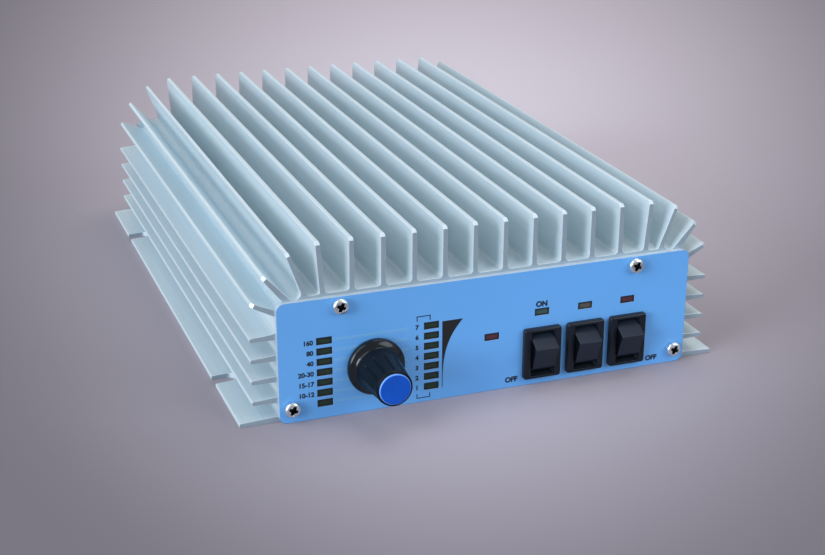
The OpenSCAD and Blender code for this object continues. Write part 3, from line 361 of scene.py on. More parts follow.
print("materials")
knobBox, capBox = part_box("selector_knob"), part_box("knob_cap")
gripFootY = knobBox[1].y - 3.7 * mm # where the skirt ends and the grip starts
capMiddle = (capBox[0] + capBox[1]) / 2
capRing = 4.85 # radius in mm at which the painted highlight ring starts
finishes = {
    "housing_metal": blastedAluminium("blastedAluminium", housingFinish),
    "cover_metal": rolledAluminium("coverSheet", "#B9C2C8", (1, 0.03, 1)),
    "panel_blue": panelLacquer("panelLacquer", panelFinish),
    "rear_panel_metal": rolledAluminium("rearSheet", "#C3CDD3", (0.03, 1, 1)),
    "screw_chrome": platedMetal("chromedSteel", "#E2EAEE", 0.27, 1.5),
    "screw_steel": platedMetal("zincPlatedSteel", "#C4C9CC", 0.3, 1.2),
    "knob_black": knobAbs("knobAbs", "#0C1218", gripFootY),
    "cap_blue": capAbs("capAbs", "#0050BC", "#6DA2EC", capMiddle, capRing),
    "brass": platedMetal("turnedBrass", "#C9A65A", 0.28, 2.0),
    "shaft_steel": platedMetal("drawnSteel", "#C3C8CC", 0.25, 1.0),
    "switch_black": bezelNylon("switchNylon", "#111721", "#222A36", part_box("power_switch_body")[0].y),
    "rocker_black": rockerNylon("rockerNylon", "#121E2D", "#05070A"),
    "lamp_green": lampEpoxy("greenEpoxy", "#1B2A22", "#2C3E30"),
    "lamp_red": lampEpoxy("redEpoxy", "#46242F", "#5C3540"),
    "lamp_yellow": lampEpoxy("yellowEpoxy", "#454641", "#5E5C50"),
    "board_green": boardLaminate("glassEpoxyBoard", boardFinish),
    "part_black": mouldedPlastic("phenolicBlack", "#1A1B1E", 0.45, 0.5, 0.2),
    "lead_red": mouldedPlastic("redLeadPvc", "#A81F26", 0.4, 0.8, 0.1),
    "lead_grey": mouldedPlastic("greyLeadPvc", "#8E959C", 0.4, 0.8, 0.1),
    "ceramic_white": mouldedPlastic("alumina", "#E2DCCF", 0.5, 0.3, 0.1),
    "ferrite_grey": mouldedPlastic("sinteredFerrite", "#44464A", 0.65, 0.3, 0.15),
    "iron_red": mouldedPlastic("lacqueredIronPowder", "#A63A28", 0.5, 0.3, 0.3),
    "capacitor_blue": mouldedPlastic("shrunkSleeve", "#1F2E4D", 0.35, 1.5, 0.2),
    "socket_nickel": platedMetal("nickelPlate", "#CFCBC0", 0.2, 2.2),
    "insulator_cream": mouldedPlastic("turnedPtfe", "#E9E4D6", 0.45, 0.4, 0.15),
    "fuse_amber": clearTint("fusePolycarbonate", "#D99A1C"),
    "rubber_black": mouldedPlastic("grommetRubber", "#1B1B1D", 0.6, 0.25, 0.3),
}
panelInk = screenInk("panelInk", "#0C0F14")
# dark steel on the faces of the cross recesses: painted shade for their depth
paintedRecessShade = platedMetal("paintedRecessShade", "#23262A", 0.45, 0.6)
# near black, a painted shadow for the rims round the lamps
lampShadowBlack = mouldedPlastic("lampShadowBlack", "#0A0E14", 0.5, 0.3, 0.05)
stripeInk = screenInk("stripeInk", "#71B0E4")


for part in frame["record"]["subparts"]:
    node = frame["nodes"][part["node"]]
    node.data.materials.clear()
    node.data.materials.append(finishes[part["material_slot"]])
frame["nodes"]["power_led"].data.materials[0] = lampEpoxy("paleGreenEpoxy", "#2E4846", "#465F58")


# helpers for new pieces

def findPivot(joint):
    return next(Vector(j["pos_m"]) for j in frame["joints"] if j["name"] == joint)


def addPiece(name, bm, slotName, body="amplifier", stands=(), material=None, sharp=35):
    # turns a shape drawn in mm into a piece of the object, riding on its body
    bmesh.ops.scale(bm, vec=(mm, mm, mm), verts=bm.verts)
    mesh = bpy.data.meshes.new(name)
    bm.to_mesh(mesh)
    bm.free()
    mesh.shade_smooth()
    mesh.set_sharp_from_angle(angle=math.radians(sharp))
    mesh.materials.append(material or finishes[slotName])
    piece = bpy.data.objects.new(name, mesh)
    scene.collection.objects.link(piece)
    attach(piece, body)
    if stands:
        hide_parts(*stands)
    return piece


def carve(piece, cutter, inside=None):
    # takes the cutter's shape, in mm, out of the piece for good; inside is the finish of the cut faces
    bmesh.ops.scale(cutter, vec=(mm, mm, mm), verts=cutter.verts)
    mesh = bpy.data.meshes.new("cutter")
    cutter.to_mesh(mesh)
    cutter.free()
    if inside:
        mesh.materials.append(inside)
    tool = bpy.data.objects.new("cutter", mesh)
    scene.collection.objects.link(tool)
    difference = piece.modifiers.new("carve", "BOOLEAN")
    difference.object = tool
    difference.solver = "EXACT"
    difference.use_self = True
    difference.material_mode = "TRANSFER" if inside else "INDEX"
    carved = bpy.data.meshes.new_from_object(piece.evaluated_get(bpy.context.evaluated_depsgraph_get()))
    piece.modifiers.remove(difference)
    piece.data = carved
    bpy.data.objects.remove(tool)


def moved(bm, by, verts=None):
    bmesh.ops.translate(bm, vec=by, verts=verts or bm.verts)


def rotated(bm, degrees, axis, verts=None):
    # turned about an axis through the origin
    bmesh.ops.rotate(bm, matrix=Matrix.Rotation(math.radians(degrees), 3, axis), verts=verts or bm.verts)


def joined(bm, other):
    # adds another shape to this one
    mesh = bpy.data.meshes.new("part")
    other.to_mesh(mesh)
    other.free()
    bm.from_mesh(mesh)
    bpy.data.meshes.remove(mesh)


def pulled(bm, faces, by):
    # flat faces made solid by an extrusion
    grown = bmesh.ops.extrude_face_region(bm, geom=faces)["geom"]
    moved(bm, by, [g for g in grown if isinstance(g, bmesh.types.BMVert)])
    bmesh.ops.recalc_face_normals(bm, faces=bm.faces)


def slab(bm, corners, depth):
    # a flat outline in X and Z, made solid from y = 0 back to y = depth
    pulled(bm, [bm.faces.new([bm.verts.new((x, 0, z)) for x, z in corners])], (0, depth, 0))


def rectangle(left, right, low, high):
    return [(left, low), (right, low), (right, high), (left, high)]


def bevelled(bm, edges, width, segments):
    bmesh.ops.bevel(bm, geom=edges, offset=width, segments=segments, profile=0.5, affect="EDGES", material=-1)


def roundedPlate(bm, width, height, thickness, corner):
    # a plate round the Y axis, from y = 0 back, with its four corners rounded
    slab(bm, rectangle(-width / 2, width / 2, -height / 2, height / 2), thickness)
    bevelled(bm, [e for e in bm.edges if abs(e.verts[0].co.y - e.verts[1].co.y) > thickness / 2], corner, 5)


def block(bm, low, high):
    # a box between two opposite corners
    made = bmesh.ops.create_cube(bm, size=1)["verts"]
    bmesh.ops.scale(bm, vec=[h - l for l, h in zip(low, high)], verts=made)
    moved(bm, [(h + l) / 2 for l, h in zip(low, high)], made)


def turned(bm, profile, steps):
    # a closed outline [radius, along] turned about the Y axis
    made = [bm.verts.new((radius, along, 0)) for radius, along in profile]
    edges = [bm.edges.new(pair) for pair in zip(made, made[1:] + made[:1])]
    bmesh.ops.spin(bm, geom=made + edges, cent=(0, 0, 0), axis=(0, 1, 0), angle=math.tau, steps=steps,
                   use_merge=True)
    bmesh.ops.remove_doubles(bm, verts=bm.verts, dist=0.001)
    bmesh.ops.dissolve_degenerate(bm, dist=0.0005, edges=bm.edges)
    bmesh.ops.recalc_face_normals(bm, faces=bm.faces)


# tuning knob: a skirt, twelve flats with grooves between them, and a thin rim round the cap

knob = {
    "flats": 12,
    "firstGroove": -3,       # degrees from +X towards +Z
    "hollow": 7.4, "hollowDepth": 3.2, # radius and depth of the space under the skirt
    "core": 4.6,             # radius left open for the collet
    "foot": 4.2,             # where the grip starts, from the panel's side
    "grip": 7.3, "tip": 6.0, "rim": 5.6, # radii at the foot, at the end of the grip and at the end face
    "endRound": 1.0, "capSeat": 1.7, "capGap": 0.06,
    "skirtOutline": [(0.3, 0), (0.08, 0.12), (0, 0.4), (0, 1.5), (0.1, 1.85), (0.4, 2.2),
                     (0.9, 2.5)], # inward from the skirt's radius, and forward from its back
    "shoulder": [(0.95, 2.85), (0.45, 3.2), (0.12, 3.65)], # outward from the grip's radius, and forward
    "rimOutline": [(0.3, 0.7), (0.25, 0.2), (0.05, 0.04), (-0.15, 0)], # outward from the rim, and back
    "seatOutline": [(0.2, 0.03), (0.06, 0.2)], # outward from the cap's radius, and back from the end
    "roundWithin": 0.3,      # how far out from the cap the end stays round
    "flatDepth": 0.6,        # share of a true flat that the grip's sides reach
    "flatStart": 0.9,        # length over which the flats grow out of the round foot
    "plainEnd": 1.2,         # length before the rim over which they and the grooves fade
    "grooveStart": 7.0, "grooveWidth": 0.95, "grooveDepth": 0.5, "grooveEnd": 0.9,
    "rows": 60, "steps": 240,
}


def makeKnob():
    low, high = [corner / mm for corner in knobBox]
    capLow, capHigh = [corner / mm for corner in capBox]
    x, z, backY = (low.x + high.x) / 2, (low.z + high.z) / 2, high.y
    skirt, length, capR = (high.x - low.x) / 2, high.y - low.y, (capHigh.x - capLow.x) / 2
    grip, tip, rim, rows = knob["grip"], knob["tip"], knob["rim"], knob["rows"]
    gripEnd, foot, seat = length - knob["endRound"], knob["foot"], length - knob["capSeat"]
    profile = [(knob["hollow"], 0)] + [(skirt - inward, along) for inward, along in knob["skirtOutline"]]
    profile += [(grip + outward, along) for outward, along in knob["shoulder"]]
    profile += [(grip + (tip - grip) * k / rows, foot + (gripEnd - foot) * k / rows) for k in range(rows + 1)]
    profile += [(rim + outward, length - back) for outward, back in knob["rimOutline"]]
    profile += [(capR + outward, length - back) for outward, back in knob["seatOutline"]]
    profile += [(capR + knob["capGap"], seat), (knob["core"], seat), (knob["core"], knob["hollowDepth"]),
                (knob["hollow"], knob["hollowDepth"])]
    bm = bmesh.new()
    turned(bm, [(radius, -along) for radius, along in profile], knob["steps"])
    pitch = 360 / knob["flats"]
    for vert in bm.verts:
        radius, along = math.hypot(vert.co.x, vert.co.z), -vert.co.y
        if along < foot or radius < capR + knob["roundWithin"]:
            continue
        turn = math.degrees(math.atan2(vert.co.z, vert.co.x)) - knob["firstGroove"]
        off = (turn + pitch / 2) % pitch - pitch / 2 # degrees from the nearest groove
        sideways = math.radians(off) * radius
        flat = math.cos(math.radians(pitch / 2)) / math.cos(math.radians(pitch / 2 - abs(off))) - 1
        plain = max(0, min(1, (gripEnd - along) / knob["plainEnd"]))
        flat *= knob["flatDepth"] * min(1, (along - foot) / knob["flatStart"]) * plain
        before = max(0, knob["grooveStart"] + knob["grooveEnd"] - along) # how far short of the full groove
        reach = math.hypot(sideways / (knob["grooveWidth"] / 2), before / knob["grooveEnd"])
        inward = knob["grooveDepth"] * max(0, 1 - reach ** 2) * plain / radius
        vert.co.x *= 1 + flat - inward
        vert.co.z *= 1 + flat - inward
    moved(bm, (x, backY, z))
    return addPiece("tuningKnob", bm, "knob_black", "selector", ["selector_knob"], sharp=50)


cap = {"rim": 0.45, "dish": 0.12} # radius of the rounded rim, and depth of the hollow face


def makeCap():
    # round cap pressed into the knob's end, with a soft rim round a slightly hollow face
    low, high = [corner / mm for corner in capBox]
    x, z, radius, depth = (low.x + high.x) / 2, (low.z + high.z) / 2, (high.x - low.x) / 2, knob["capSeat"]
    rim, quarter = cap["rim"], [math.radians(10 * k) for k in range(10)]
    face = radius - rim
    profile = [(0, 0), (radius, 0)]
    profile += [(radius - rim * (1 - math.cos(a)), depth - rim * (1 - math.sin(a))) for a in quarter]
    profile += [(face * k / 8, depth - cap["dish"] * (1 - (k / 8) ** 2) ** 0.5) for k in range(7, -1, -1)]
    bm = bmesh.new()
    turned(bm, [(r, -along) for r, along in profile], 128)
    moved(bm, (x, low.y + depth, z))
    return addPiece("knobCap", bm, "cap_blue", "selector", ["knob_cap"], sharp=60)


# rocker switches

switch = { # points of a rocker's outline, out from its pivot and up from its ridge
    "ridge": 10.2, "shoulderOut": 7.0, "shoulderUp": 3.55, "lipOut": 5.1, "lipUp": 6.5,
    "skirtR": 7.74, "skirtFrom": 58, "skirtTo": 96, # arc about the pivot, in degrees from straight out
    "keelOut": -1.9, "keelUp": 3.6,
    "tilt": 18,              # degrees that it leans at rest
    "soft": 0.3, "softBack": 1, # rounding of its edges, and how far behind the pivot they are rounded
    "sharp": 0.3,            # least angle of an edge that is rounded, in radians
    "pin": 1.2,              # radius of the pivot pins, and how far they stand out
}


def makeRocker(label):
    node = label + "_rocker"
    low, high = [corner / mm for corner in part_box(node)]
    pivot = findPivot(node + "_tilt") / mm
    half = (high.x - low.x) / 2 - switch["pin"]
    first, last = switch["skirtFrom"], switch["skirtTo"]
    angles = [math.radians(first + (last - first) * k / 8) for k in range(9)]
    skirt = [(switch["skirtR"] * math.cos(a), switch["skirtR"] * math.sin(a)) for a in angles]
    upper = [(switch["shoulderOut"], switch["shoulderUp"]), (switch["lipOut"], switch["lipUp"])]
    upper += skirt + [(switch["keelOut"], switch["keelUp"])]
    outline = [(switch["ridge"], 0)] + upper + [(out, -up) for out, up in reversed(upper)]
    bm = bmesh.new()
    pulled(bm, [bm.faces.new([bm.verts.new((-half, -out, up)) for out, up in outline])], (2 * half, 0, 0))
    rims = [e for e in bm.edges # the sharp ones, apart from the keel's behind the pivot
            if e.calc_face_angle() > switch["sharp"] and max(v.co.y for v in e.verts) < switch["softBack"]]
    bevelled(bm, rims, switch["soft"], 4)
    pins = bmesh.ops.create_cone(bm, cap_ends=True, segments=32, radius1=switch["pin"], radius2=switch["pin"],
                                 depth=2 * (half + switch["pin"]))["verts"]
    rotated(bm, 90, "Y", pins)
    rotated(bm, -switch["tilt"], "X")
    moved(bm, pivot)
    return addPiece(label + "Rocker", bm, "rocker_black", node, [node], sharp=40)


bezel = {
    "face": 2.0,             # how far the bezel stands out
    "well": (8.6, 15.8, 9.5), # width, height and depth of the hole round the rocker
    "border": 0.55, "corner": 0.9, # rounding of the front edge and of the corners
    "wellAhead": 1,          # how far in front of the bezel the well's cutter starts
    "bodyShort": (1.3, 1.0), # how much narrower and lower the body behind the panel is
    "overlap": 0.2,          # how far the body runs into the bezel
}


def makeSwitchBody(label):
    node = label + "_switch_body"
    low, high = [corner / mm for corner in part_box(node)]
    x, z = (low.x + high.x) / 2, (low.z + high.z) / 2
    width, height, faceY = high.x - low.x, high.z - low.z, low.y
    wellW, wellH, wellDepth = bezel["well"]
    bodyW, bodyH = width - bezel["bodyShort"][0], height - bezel["bodyShort"][1]
    bm = bmesh.new()
    roundedPlate(bm, width, height, bezel["face"], bezel["corner"])
    front = [e for e in bm.edges if all(v.co.y < bezel["face"] / 2 for v in e.verts)]
    bevelled(bm, front, bezel["border"], 4)
    block(bm, (-bodyW / 2, bezel["face"] - bezel["overlap"], -bodyH / 2),
          (bodyW / 2, high.y - low.y, bodyH / 2))
    moved(bm, (x, faceY, z))
    piece = addPiece(label + "SwitchBody", bm, "switch_black", stands=[node], sharp=30)
    well = bmesh.new()
    block(well, (x - wellW / 2, faceY - bezel["wellAhead"], z - wellH / 2),
          (x + wellW / 2, faceY + wellDepth, z + wellH / 2))
    carve(piece, well)
    return piece


# screws

crossScrew = {
    "headR": 2.65, "headH": 2.2,
    "crown": 1.0, "rise": 0.12, # rounding of the head's shoulder, and how far its crown rises
    "underEdge": (0.12, 0.1), # bevel under the head, across and along
    "shankR": 1.5, "panelLength": 13, "socketLength": 7.6,
    "recess": 1.85, "recessDepth": 1.3, "arm": 0.52, # reach, depth and half width of the cross
    "web": 1.5,              # where two arms meet, out from the middle against an arm's half width
    "taper": 0.6,            # size of the cross at its floor against its mouth
    "clear": 0.6,            # how far above the head the cutter starts
    "turn": 24,              # degrees that the recess is turned
}


def crossCutter(at, towards):
    # tapered cross recess, cut in from the top of a head; towards is +1 when the screw points along +Y
    bm = bmesh.new()
    reach, arm = crossScrew["recess"], crossScrew["arm"]
    top = crossScrew["headH"] + crossScrew["clear"]
    web = arm * crossScrew["web"]
    quarter = [(reach, -arm), (reach, arm), (web, web)]
    outline = []
    for k in range(4):
        c, s = round(math.cos(k * math.pi / 2)), round(math.sin(k * math.pi / 2))
        outline += [(x * c - z * s, x * s + z * c) for x, z in quarter]
    slab(bm, outline, crossScrew["clear"] + crossScrew["recessDepth"])
    deep = [v for v in bm.verts if v.co.y > crossScrew["clear"]]
    bmesh.ops.scale(bm, vec=(crossScrew["taper"], 1, crossScrew["taper"]), verts=deep)
    rotated(bm, crossScrew["turn"], "Y")
    moved(bm, (0, -top, 0))
    if towards < 0:
        rotated(bm, 180, "X")
    moved(bm, at)
    return bm


def makeScrews(name, node, seats, seatY, length, towards, slotName):
    # pan-head screws at these places in X and Z, with their heads seated on a plane
    bm, cutter = bmesh.new(), bmesh.new()
    r, h = crossScrew["headR"], crossScrew["headH"]
    shank, crown, rise = crossScrew["shankR"], crossScrew["crown"], crossScrew["rise"]
    across, along = crossScrew["underEdge"]
    arc = [(r - crown * (1 - math.cos(a)), -(h - rise - crown * (1 - math.sin(a))))
           for a in [math.radians(10 * k) for k in range(9)]]
    profile = [(0, length), (shank, length), (shank, 0), (r - across, 0), (r, -along)] + arc + [(0, -h)]
    for x, z in seats:
        one = bmesh.new()
        turned(one, profile, 48)
        if towards < 0:
            rotated(one, 180, "X")
        moved(one, (x, seatY, z))
        joined(bm, one)
        joined(cutter, crossCutter((x, seatY, z), towards))
    piece = addPiece(name, bm, slotName, stands=[node], sharp=40)
    # the recess faces take the dark painted shade
    carve(piece, cutter, paintedRecessShade)
    return piece


# print on the front panel

panelPrint = {
    "lift": 0.03,            # thickness of the ink in mm
    "capShare": 0.729,       # height of a capital against the type's size
    "lampGap": 0.56,         # gap between two lamps of a column against a lamp's height
    "numbers": ["160", "80", "40", "20-30", "15-17", "10-12"],
    "numberRight": -60.8, "numberHeight": 1.62, "numberDrop": 0.05, "numberBold": 0.055,
    "scaleX": -26.0, "scaleHeight": 1.5, "bold": 0.07, # bold is the widening of a stroke against the height
    "bracket": {"left": -26.15, "right": -21.4, "top": 30.5, "topTick": 28.75, "bottom": 1.35,
                "bottomTick": 2.95, "line": 0.3},
    "wedge": {"left": -17.3, "top": 27.6, "tip": 4.05, "topWidth": 7.2, "leastWidth": 0.22, "power": 3.2,
              "steps": 24},
    "words": [("ON", 17.9, 28.8, 1.9, "CENTER"), ("OFF", 9.8, 2.95, 1.85, "RIGHT"),
              ("OFF", 57.95, 2.8, 1.8, "LEFT")], # text, place in X and Z, height and alignment
    "stripes": {"left": -54.4, "right": -29.0, "height": 0.9},
}
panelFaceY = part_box("front_panel")[0].y / mm


def printedWords(bm, text, x, z, height, align, bold):
    # type set flat on the panel's face, centred on z
    curve = bpy.data.curves.new("type", "FONT")
    curve.body = text
    curve.size = height / panelPrint["capShare"]
    curve.align_x = align
    curve.offset = bold * height
    curve.resolution_u = 6
    curve.extrude = panelPrint["lift"] / 2
    words = bpy.data.objects.new("type", curve)
    scene.collection.objects.link(words)
    mesh = bpy.data.meshes.new_from_object(words.evaluated_get(bpy.context.evaluated_depsgraph_get()))
    mesh.transform(Matrix.Translation((x, panelFaceY - panelPrint["lift"] / 2, z - height / 2)) @
                   Matrix.Rotation(math.pi / 2, 4, "X"))
    bm.from_mesh(mesh)
    bmesh.ops.remove_doubles(bm, verts=bm.verts, dist=0.002)
    bmesh.ops.dissolve_degenerate(bm, dist=0.0005, edges=bm.edges)
    bmesh.ops.recalc_face_normals(bm, faces=bm.faces)
    bpy.data.objects.remove(words)
    bpy.data.meshes.remove(mesh)


def printedShape(bm, corners):
    # an outline in X and Z, laid on the panel's face as ink
    one = bmesh.new()
    slab(one, corners, panelPrint["lift"])
    moved(one, (0, panelFaceY - panelPrint["lift"], 0))
    joined(bm, one)


def lampRows(node, count):
    # heights of the lamps in a column, from the top down
    low, high = [corner.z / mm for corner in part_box(node)]
    lampHeight = (high - low) / (count + (count - 1) * panelPrint["lampGap"])
    first, last = high - lampHeight / 2, low + lampHeight / 2
    return [first + (last - first) * k / (count - 1) for k in range(count)]


def makePanelPrint():
    rows = lampRows("band_leds", 7)
    bands = bmesh.new()
    for text, z in zip(panelPrint["numbers"], rows):
        printedWords(bands, text, panelPrint["numberRight"], z - panelPrint["numberDrop"],
                     panelPrint["numberHeight"], "RIGHT", panelPrint["numberBold"])
    addPiece("bandNumbers", bands, "part_black", material=panelInk)

    scale = bmesh.new()
    for k, z in enumerate(lampRows("output_leds", 7)):
        printedWords(scale, str(7 - k), panelPrint["scaleX"], z, panelPrint["scaleHeight"], "CENTER",
                     panelPrint["bold"])
    bracket = panelPrint["bracket"]
    left, right, line = bracket["left"], bracket["right"], bracket["line"]
    for outer, tick in ((bracket["top"], bracket["topTick"]), (bracket["bottom"], bracket["bottomTick"])):
        inner = outer + line if outer < tick else outer - line
        printedShape(scale, rectangle(left, right, min(outer, inner), max(outer, inner)))
        for x in (left, right - line):
            printedShape(scale, rectangle(x, x + line, min(outer, tick), max(outer, tick)))
    addPiece("outputScale", scale, "part_black", material=panelInk)

    wedge, shape = bmesh.new(), panelPrint["wedge"]
    left, tip, tall = shape["left"], shape["tip"], shape["top"] - shape["tip"]
    heights = [tip + tall * k / shape["steps"] for k in range(shape["steps"] + 1)]
    curve = [(left + shape["leastWidth"] + (shape["topWidth"] - shape["leastWidth"]) *
              ((z - tip) / tall) ** shape["power"], z) for z in heights]
    printedShape(wedge, [(left, tip)] + curve + [(left, shape["top"])])
    addPiece("levelWedge", wedge, "part_black", material=panelInk)

    words = bmesh.new()
    for text, x, z, height, align in panelPrint["words"]:
        printedWords(words, text, x, z, height, align, panelPrint["bold"])
    addPiece("switchWords", words, "part_black", material=panelInk)

    stripes, stripe = bmesh.new(), panelPrint["stripes"]
    for z in rows:
        printedShape(stripes, rectangle(stripe["left"], stripe["right"], z - stripe["height"] / 2,
                                        z + stripe["height"] / 2))
    addPiece("bandStripes", stripes, "panel_blue", material=stripeInk)


# dark rims round the lamps, just in front of their faces: painted shadow for the shade in the gap round each lamp

shadowRim = {"width": 0.36, "back": 0.05, "front": 0.18} # width of the rim, and its two depths behind the face


def makeLampShadowRims():
    bm = bmesh.new()
    for node, count in (("band_leds", 7), ("output_leds", 7), ("protection_led", 1), ("power_led", 1),
                        ("attenuator_led", 1), ("transmit_led", 1)):
        low, high = [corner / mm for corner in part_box(node)]
        heights = lampRows(node, count) if count > 1 else [(low.z + high.z) / 2]
        tall = (high.z - low.z - (heights[0] - heights[-1])) / 2
        for z in heights:
            one = bmesh.new()
            face = one.faces.new([one.verts.new((x, panelFaceY + shadowRim["back"], up))
                                  for x, up in rectangle(low.x, high.x, z - tall, z + tall)])
            face.normal_update()
            bmesh.ops.inset_region(one, faces=[face], thickness=shadowRim["width"], use_boundary=True,
                                   use_even_offset=True)
            bmesh.ops.delete(one, geom=[face], context="FACES_ONLY")
            pulled(one, one.faces[:], (0, shadowRim["front"] - shadowRim["back"], 0))
            joined(bm, one)
    addPiece("lampShadowRims", bm, "part_black", material=lampShadowBlack)


# coaxial sockets with their threads

socket = {
    "places": (-52, 52), "height": 20.5, # where the two stand on the rear panel, in X and Z
    "flange": 25.4, "plate": 1.6, "corner": 1.5, "hole": 1.55, "holePitch": 18.2,
    "length": 11.0, "bore": 5.5, "sleeveR": 6.5,
    "threadR": 7.9, "pitch": 1.06, "depth": 0.5, "rowsPerTurn": 8,
    "threadFrom": 0.4, "threadTo": 0.25, # how far the thread stays clear of the flange and of the tip
    "fadeIn": 0.6, "fadeOut": 0.4,       # lengths over which it reaches and leaves its full depth
    "chamfer": 0.5,
    "seated": 0.2, "firstRow": 0.3,      # where the wide part and its rows start, out from the panel's face
    "coreInset": 0.3, "through": 6,      # how far the flange laps the sleeve, and length of the hole cutters
    "notch": 1.6, "notchDepth": 1.0,     # four notches in the tip, which hold a plug from turning
    "notchReach": (5, 9), "notchAhead": 1, # radii that a notch's cutter spans, and how far out it starts
}


def makeSocket(name, node):
    low, high = [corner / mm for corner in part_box(node)]
    x, z = (low.x + high.x) / 2, (low.z + high.z) / 2
    tip = high.y
    flangeBack = tip - socket["length"] - socket["plate"]
    rows = round(socket["length"] / socket["pitch"] * socket["rowsPerTurn"])
    r = socket["threadR"]
    bm = bmesh.new()
    seated, firstRow = flangeBack + socket["seated"], flangeBack + socket["firstRow"]
    outline = [(socket["bore"], low.y), (socket["sleeveR"], low.y), (socket["sleeveR"], seated), (r, seated)]
    outline += [(r, firstRow + (tip - firstRow) * k / rows) for k in range(rows + 1)]
    outline += [(socket["bore"], tip)]
    turned(bm, outline, 64)
    start, end = flangeBack + socket["plate"] + socket["threadFrom"], tip - socket["threadTo"]
    for vert in bm.verts:
        radius, along = math.hypot(vert.co.x, vert.co.z), vert.co.y
        if radius < r - 0.01:
            continue
        turn = math.atan2(vert.co.z, vert.co.x) / math.tau
        wave = abs((along / socket["pitch"] - turn) % 1 * 2 - 1)
        fade = max(0, min(1, (along - start) / socket["fadeIn"]))
        fade *= max(0, min(1, (end - along) / socket["fadeOut"]))
        chamfer = max(0, along - (tip - socket["chamfer"]))
        inward = (socket["depth"] * wave * fade + chamfer) / radius
        vert.co.x *= 1 - inward
        vert.co.z *= 1 - inward
    plate = bmesh.new()
    roundedPlate(plate, socket["flange"], socket["flange"], socket["plate"], socket["corner"])
    moved(plate, (x, flangeBack, z))
    cutter, half = bmesh.new(), socket["holePitch"] / 2
    holes = [(i * half, j * half, socket["hole"], 32) for i in (-1, 1) for j in (-1, 1)]
    for across, up, radius, steps in holes + [(0, 0, socket["sleeveR"] - socket["coreInset"], 64)]:
        hole = bmesh.ops.create_cone(cutter, cap_ends=True, segments=steps, radius1=radius, radius2=radius,
                                     depth=socket["through"])["verts"]
        rotated(cutter, 90, "X", hole)
        moved(cutter, (x + across, flangeBack, z + up), hole)
    flange = addPiece(name + "Flange", plate, "socket_nickel", sharp=30)
    carve(flange, cutter)
    moved(bm, (x, 0, z))
    barrel = addPiece(name, bm, "socket_nickel", stands=[node], sharp=60)
    notches = bmesh.new()
    inner, outer = socket["notchReach"]
    for k in range(4):
        one = bmesh.new()
        block(one, (inner, tip - socket["notchDepth"], -socket["notch"] / 2),
              (outer, tip + socket["notchAhead"], socket["notch"] / 2))
        rotated(one, 45 + 90 * k, "Y")
        moved(one, (x, 0, z))
        joined(notches, one)
    carve(barrel, notches)


print("front: knob, switches, screws and print")
makeKnob()
makeCap()
for label in ("power", "attenuator", "delay"):
    makeRocker(label)
    makeSwitchBody(label)

panelScrewSeats = [(-51.8, 38.0), (51.8, 38.0), (-68.25, 5.0), (68.25, 5.0)] # in X and Z, at both ends
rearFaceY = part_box("rear_panel")[1].y / mm
panelLength, socketLength = crossScrew["panelLength"], crossScrew["socketLength"]
makeScrews("frontScrews", "front_panel_screws", panelScrewSeats, panelFaceY, panelLength, 1, "screw_chrome")
makeScrews("rearScrews", "rear_panel_screws", panelScrewSeats, rearFaceY, panelLength, -1, "screw_chrome")
makePanelPrint()
makeLampShadowRims()

print("rear: sockets")
makeSocket("antennaSocket", "antenna_socket")
makeSocket("inputSocket", "input_socket")
halfPitch = socket["holePitch"] / 2
socketSeats = [(place + i * halfPitch, socket["height"] + j * halfPitch)
               for place in socket["places"] for i in (-1, 1) for j in (-1, 1)]
makeScrews("socketScrews", "socket_screws", socketSeats, rearFaceY + socket["plate"], socketLength, -1,
           "screw_steel")


# camera, floor and light

print("camera, floor and light")
view = {
    "eye": (-0.18378, -0.53591, 0.22122),
    "heading": 21.148, "dip": 22.215, "roll": 0.378, # degrees: right of +Y, below level, and anticlockwise
    "lens": 66.955, "sensor": 36, "shift": (-0.0276, 0.02648), "clip": (0.02, 20),
}
cameraData = bpy.data.cameras.new("camera")
cameraData.lens, cameraData.sensor_width = view["lens"], view["sensor"]
cameraData.shift_x, cameraData.shift_y = view["shift"]
cameraData.clip_start, cameraData.clip_end = view["clip"]
cameraObject = bpy.data.objects.new("camera", cameraData)
cameraObject.matrix_world = (Matrix.Translation(view["eye"]) @
                             Matrix.Rotation(-math.radians(view["heading"]), 4, "Z") @
                             Matrix.Rotation(math.radians(90 - view["dip"]), 4, "X") @
                             Matrix.Rotation(math.radians(view["roll"]), 4, "Z"))
scene.collection.objects.link(cameraObject)
scene.camera = cameraObject

floorLook = {
    "size": 8, "drop": 0.00005, # width in metres, and how far it lies under the feet
    # near is the colour under the painted pool of light, far the painted shade towards the edges
    "near": "#CAC0CA", "far": "#68626A",
    "centre": (0.098, 0.176), "turn": view["heading"], # where the painted pool of light lies and which way it runs
    "across": 0.30, "along": 1.06, "widening": 1.18,   # its radii in metres, and how fast it widens
    "leastWidth": 0.05,      # its width towards the camera against that at the middle
}


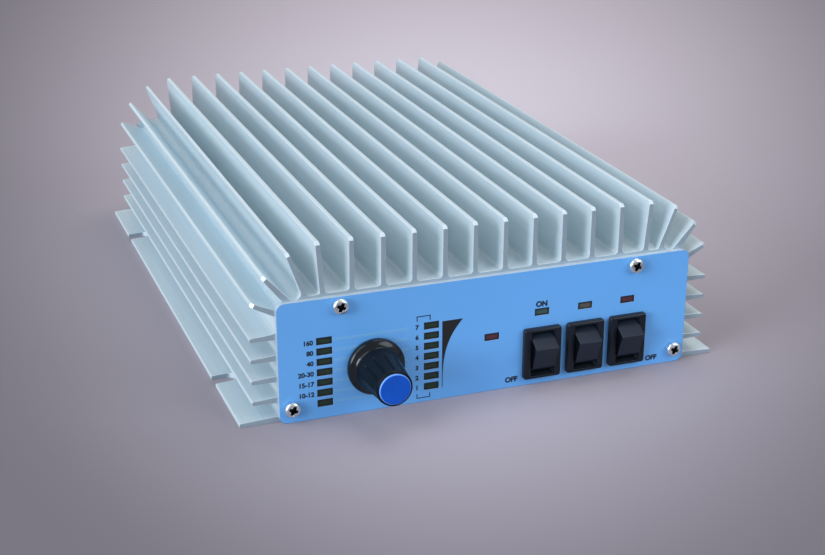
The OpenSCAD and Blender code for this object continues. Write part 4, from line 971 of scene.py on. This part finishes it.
def paperWithPaintedLight(name, look):
    # seamless background paper, matt, with a painted pool of light that widens to the back, and painted shade that
    # darkens it towards its edges
    material, tree, shader = newMaterial(name, {"Roughness": 0.8})
    place = addNode(tree, "TexCoord").outputs["Object"]
    pool = addNode(tree, "Mapping", {"Vector": place, "Location": (*look["centre"], 0),
                                     "Rotation": (0, 0, -math.radians(look["turn"])),
                                     "Scale": (look["across"], look["along"], 1)}, vector_type="TEXTURE")
    reach = addNode(tree, "VectorMath", {0: pool.outputs["Vector"]}, operation="LENGTH").outputs["Value"]
    ahead = addNode(tree, "SeparateXYZ", {"Vector": pool.outputs["Vector"]}).outputs["Y"]
    width = addNode(tree, "Math", {0: ahead, 1: look["widening"] * look["along"], 2: 1},
                    operation="MULTIPLY_ADD").outputs["Value"]
    width = addNode(tree, "Math", {0: width, 1: look["leastWidth"]}, operation="MAXIMUM").outputs["Value"]
    fade = addNode(tree, "Math", {0: reach, 1: width}, operation="DIVIDE").outputs["Value"]
    fade = addNode(tree, "MapRange", {"Value": fade}, interpolation_type="SMOOTHSTEP").outputs["Result"]
    mixed = addNode(tree, "Mix", {0: fade, 6: srgb(look["near"]), 7: srgb(look["far"])}, data_type="RGBA")
    setSockets(tree, shader, {"Base Color": mixed.outputs[2]})
    return material


floorMesh = bmesh.new()
bmesh.ops.create_grid(floorMesh, x_segments=4, y_segments=4, size=floorLook["size"] / 2)
moved(floorMesh, (0, 0, -floorLook["drop"]))
floorData = bpy.data.meshes.new("floor")
floorMesh.to_mesh(floorData)
floorMesh.free()
floorData.materials.append(paperWithPaintedLight("paperWithPaintedLight", floorLook))
floor = bpy.data.objects.new("floor", floorData)
scene.collection.objects.link(floor)

studio = {"sky": "#F4F2F1", "skyStrength": 0.5, "aim": (0, 0, 0.03)} # the softboxes face the aim, in metres
world = bpy.data.worlds.new("studio")
world.use_nodes = True
scene.world = world
world.node_tree.nodes.clear()
sky = addNode(world.node_tree, "Background", {"Color": srgb(studio["sky"]),
                                              "Strength": studio["skyStrength"]})
addNode(world.node_tree, "OutputWorld", {"Surface": sky.outputs["Background"]})

softboxes = [
    {"name": "keySoftbox", "at": (-0.86, -0.22, 0.84), "size": 0.9, "power": 7.7, "colour": "#E2EFFF"},
    {"name": "topSoftbox", "at": (0.35, 0.15, 1.05), "size": 0.7, "power": 4.0, "colour": "#FFFFFF"},
    {"name": "frontSoftbox", "at": (0.5, -0.62, 0.4), "size": 0.45, "power": 2.5, "colour": "#E8F2FF"},
]
for box in softboxes:
    light = bpy.data.lights.new(box["name"], "AREA")
    light.size, light.energy = box["size"], box["power"]
    light.color = srgb(box["colour"])[:3]
    lamp = bpy.data.objects.new(box["name"], light)
    lamp.location = box["at"]
    lamp.rotation_euler = (Vector(studio["aim"]) - Vector(box["at"])).to_track_quat("-Z", "Y").to_euler()
    scene.collection.objects.link(lamp)

# low, even light from the left, which reaches in under the side fins
window = {"from": (-1.5, -0.55, 0.4), "strength": 2.35, "spread": 28, "colour": "#EDF5FF"}
windowData = bpy.data.lights.new("sideWindow", "SUN")
windowData.energy, windowData.angle = window["strength"], math.radians(window["spread"])
windowData.color = srgb(window["colour"])[:3]
windowLight = bpy.data.objects.new("sideWindow", windowData)
windowLight.rotation_euler = Vector(window["from"]).to_track_quat("Z", "Y").to_euler()
scene.collection.objects.link(windowLight)

scene.view_settings.view_transform = "Standard"
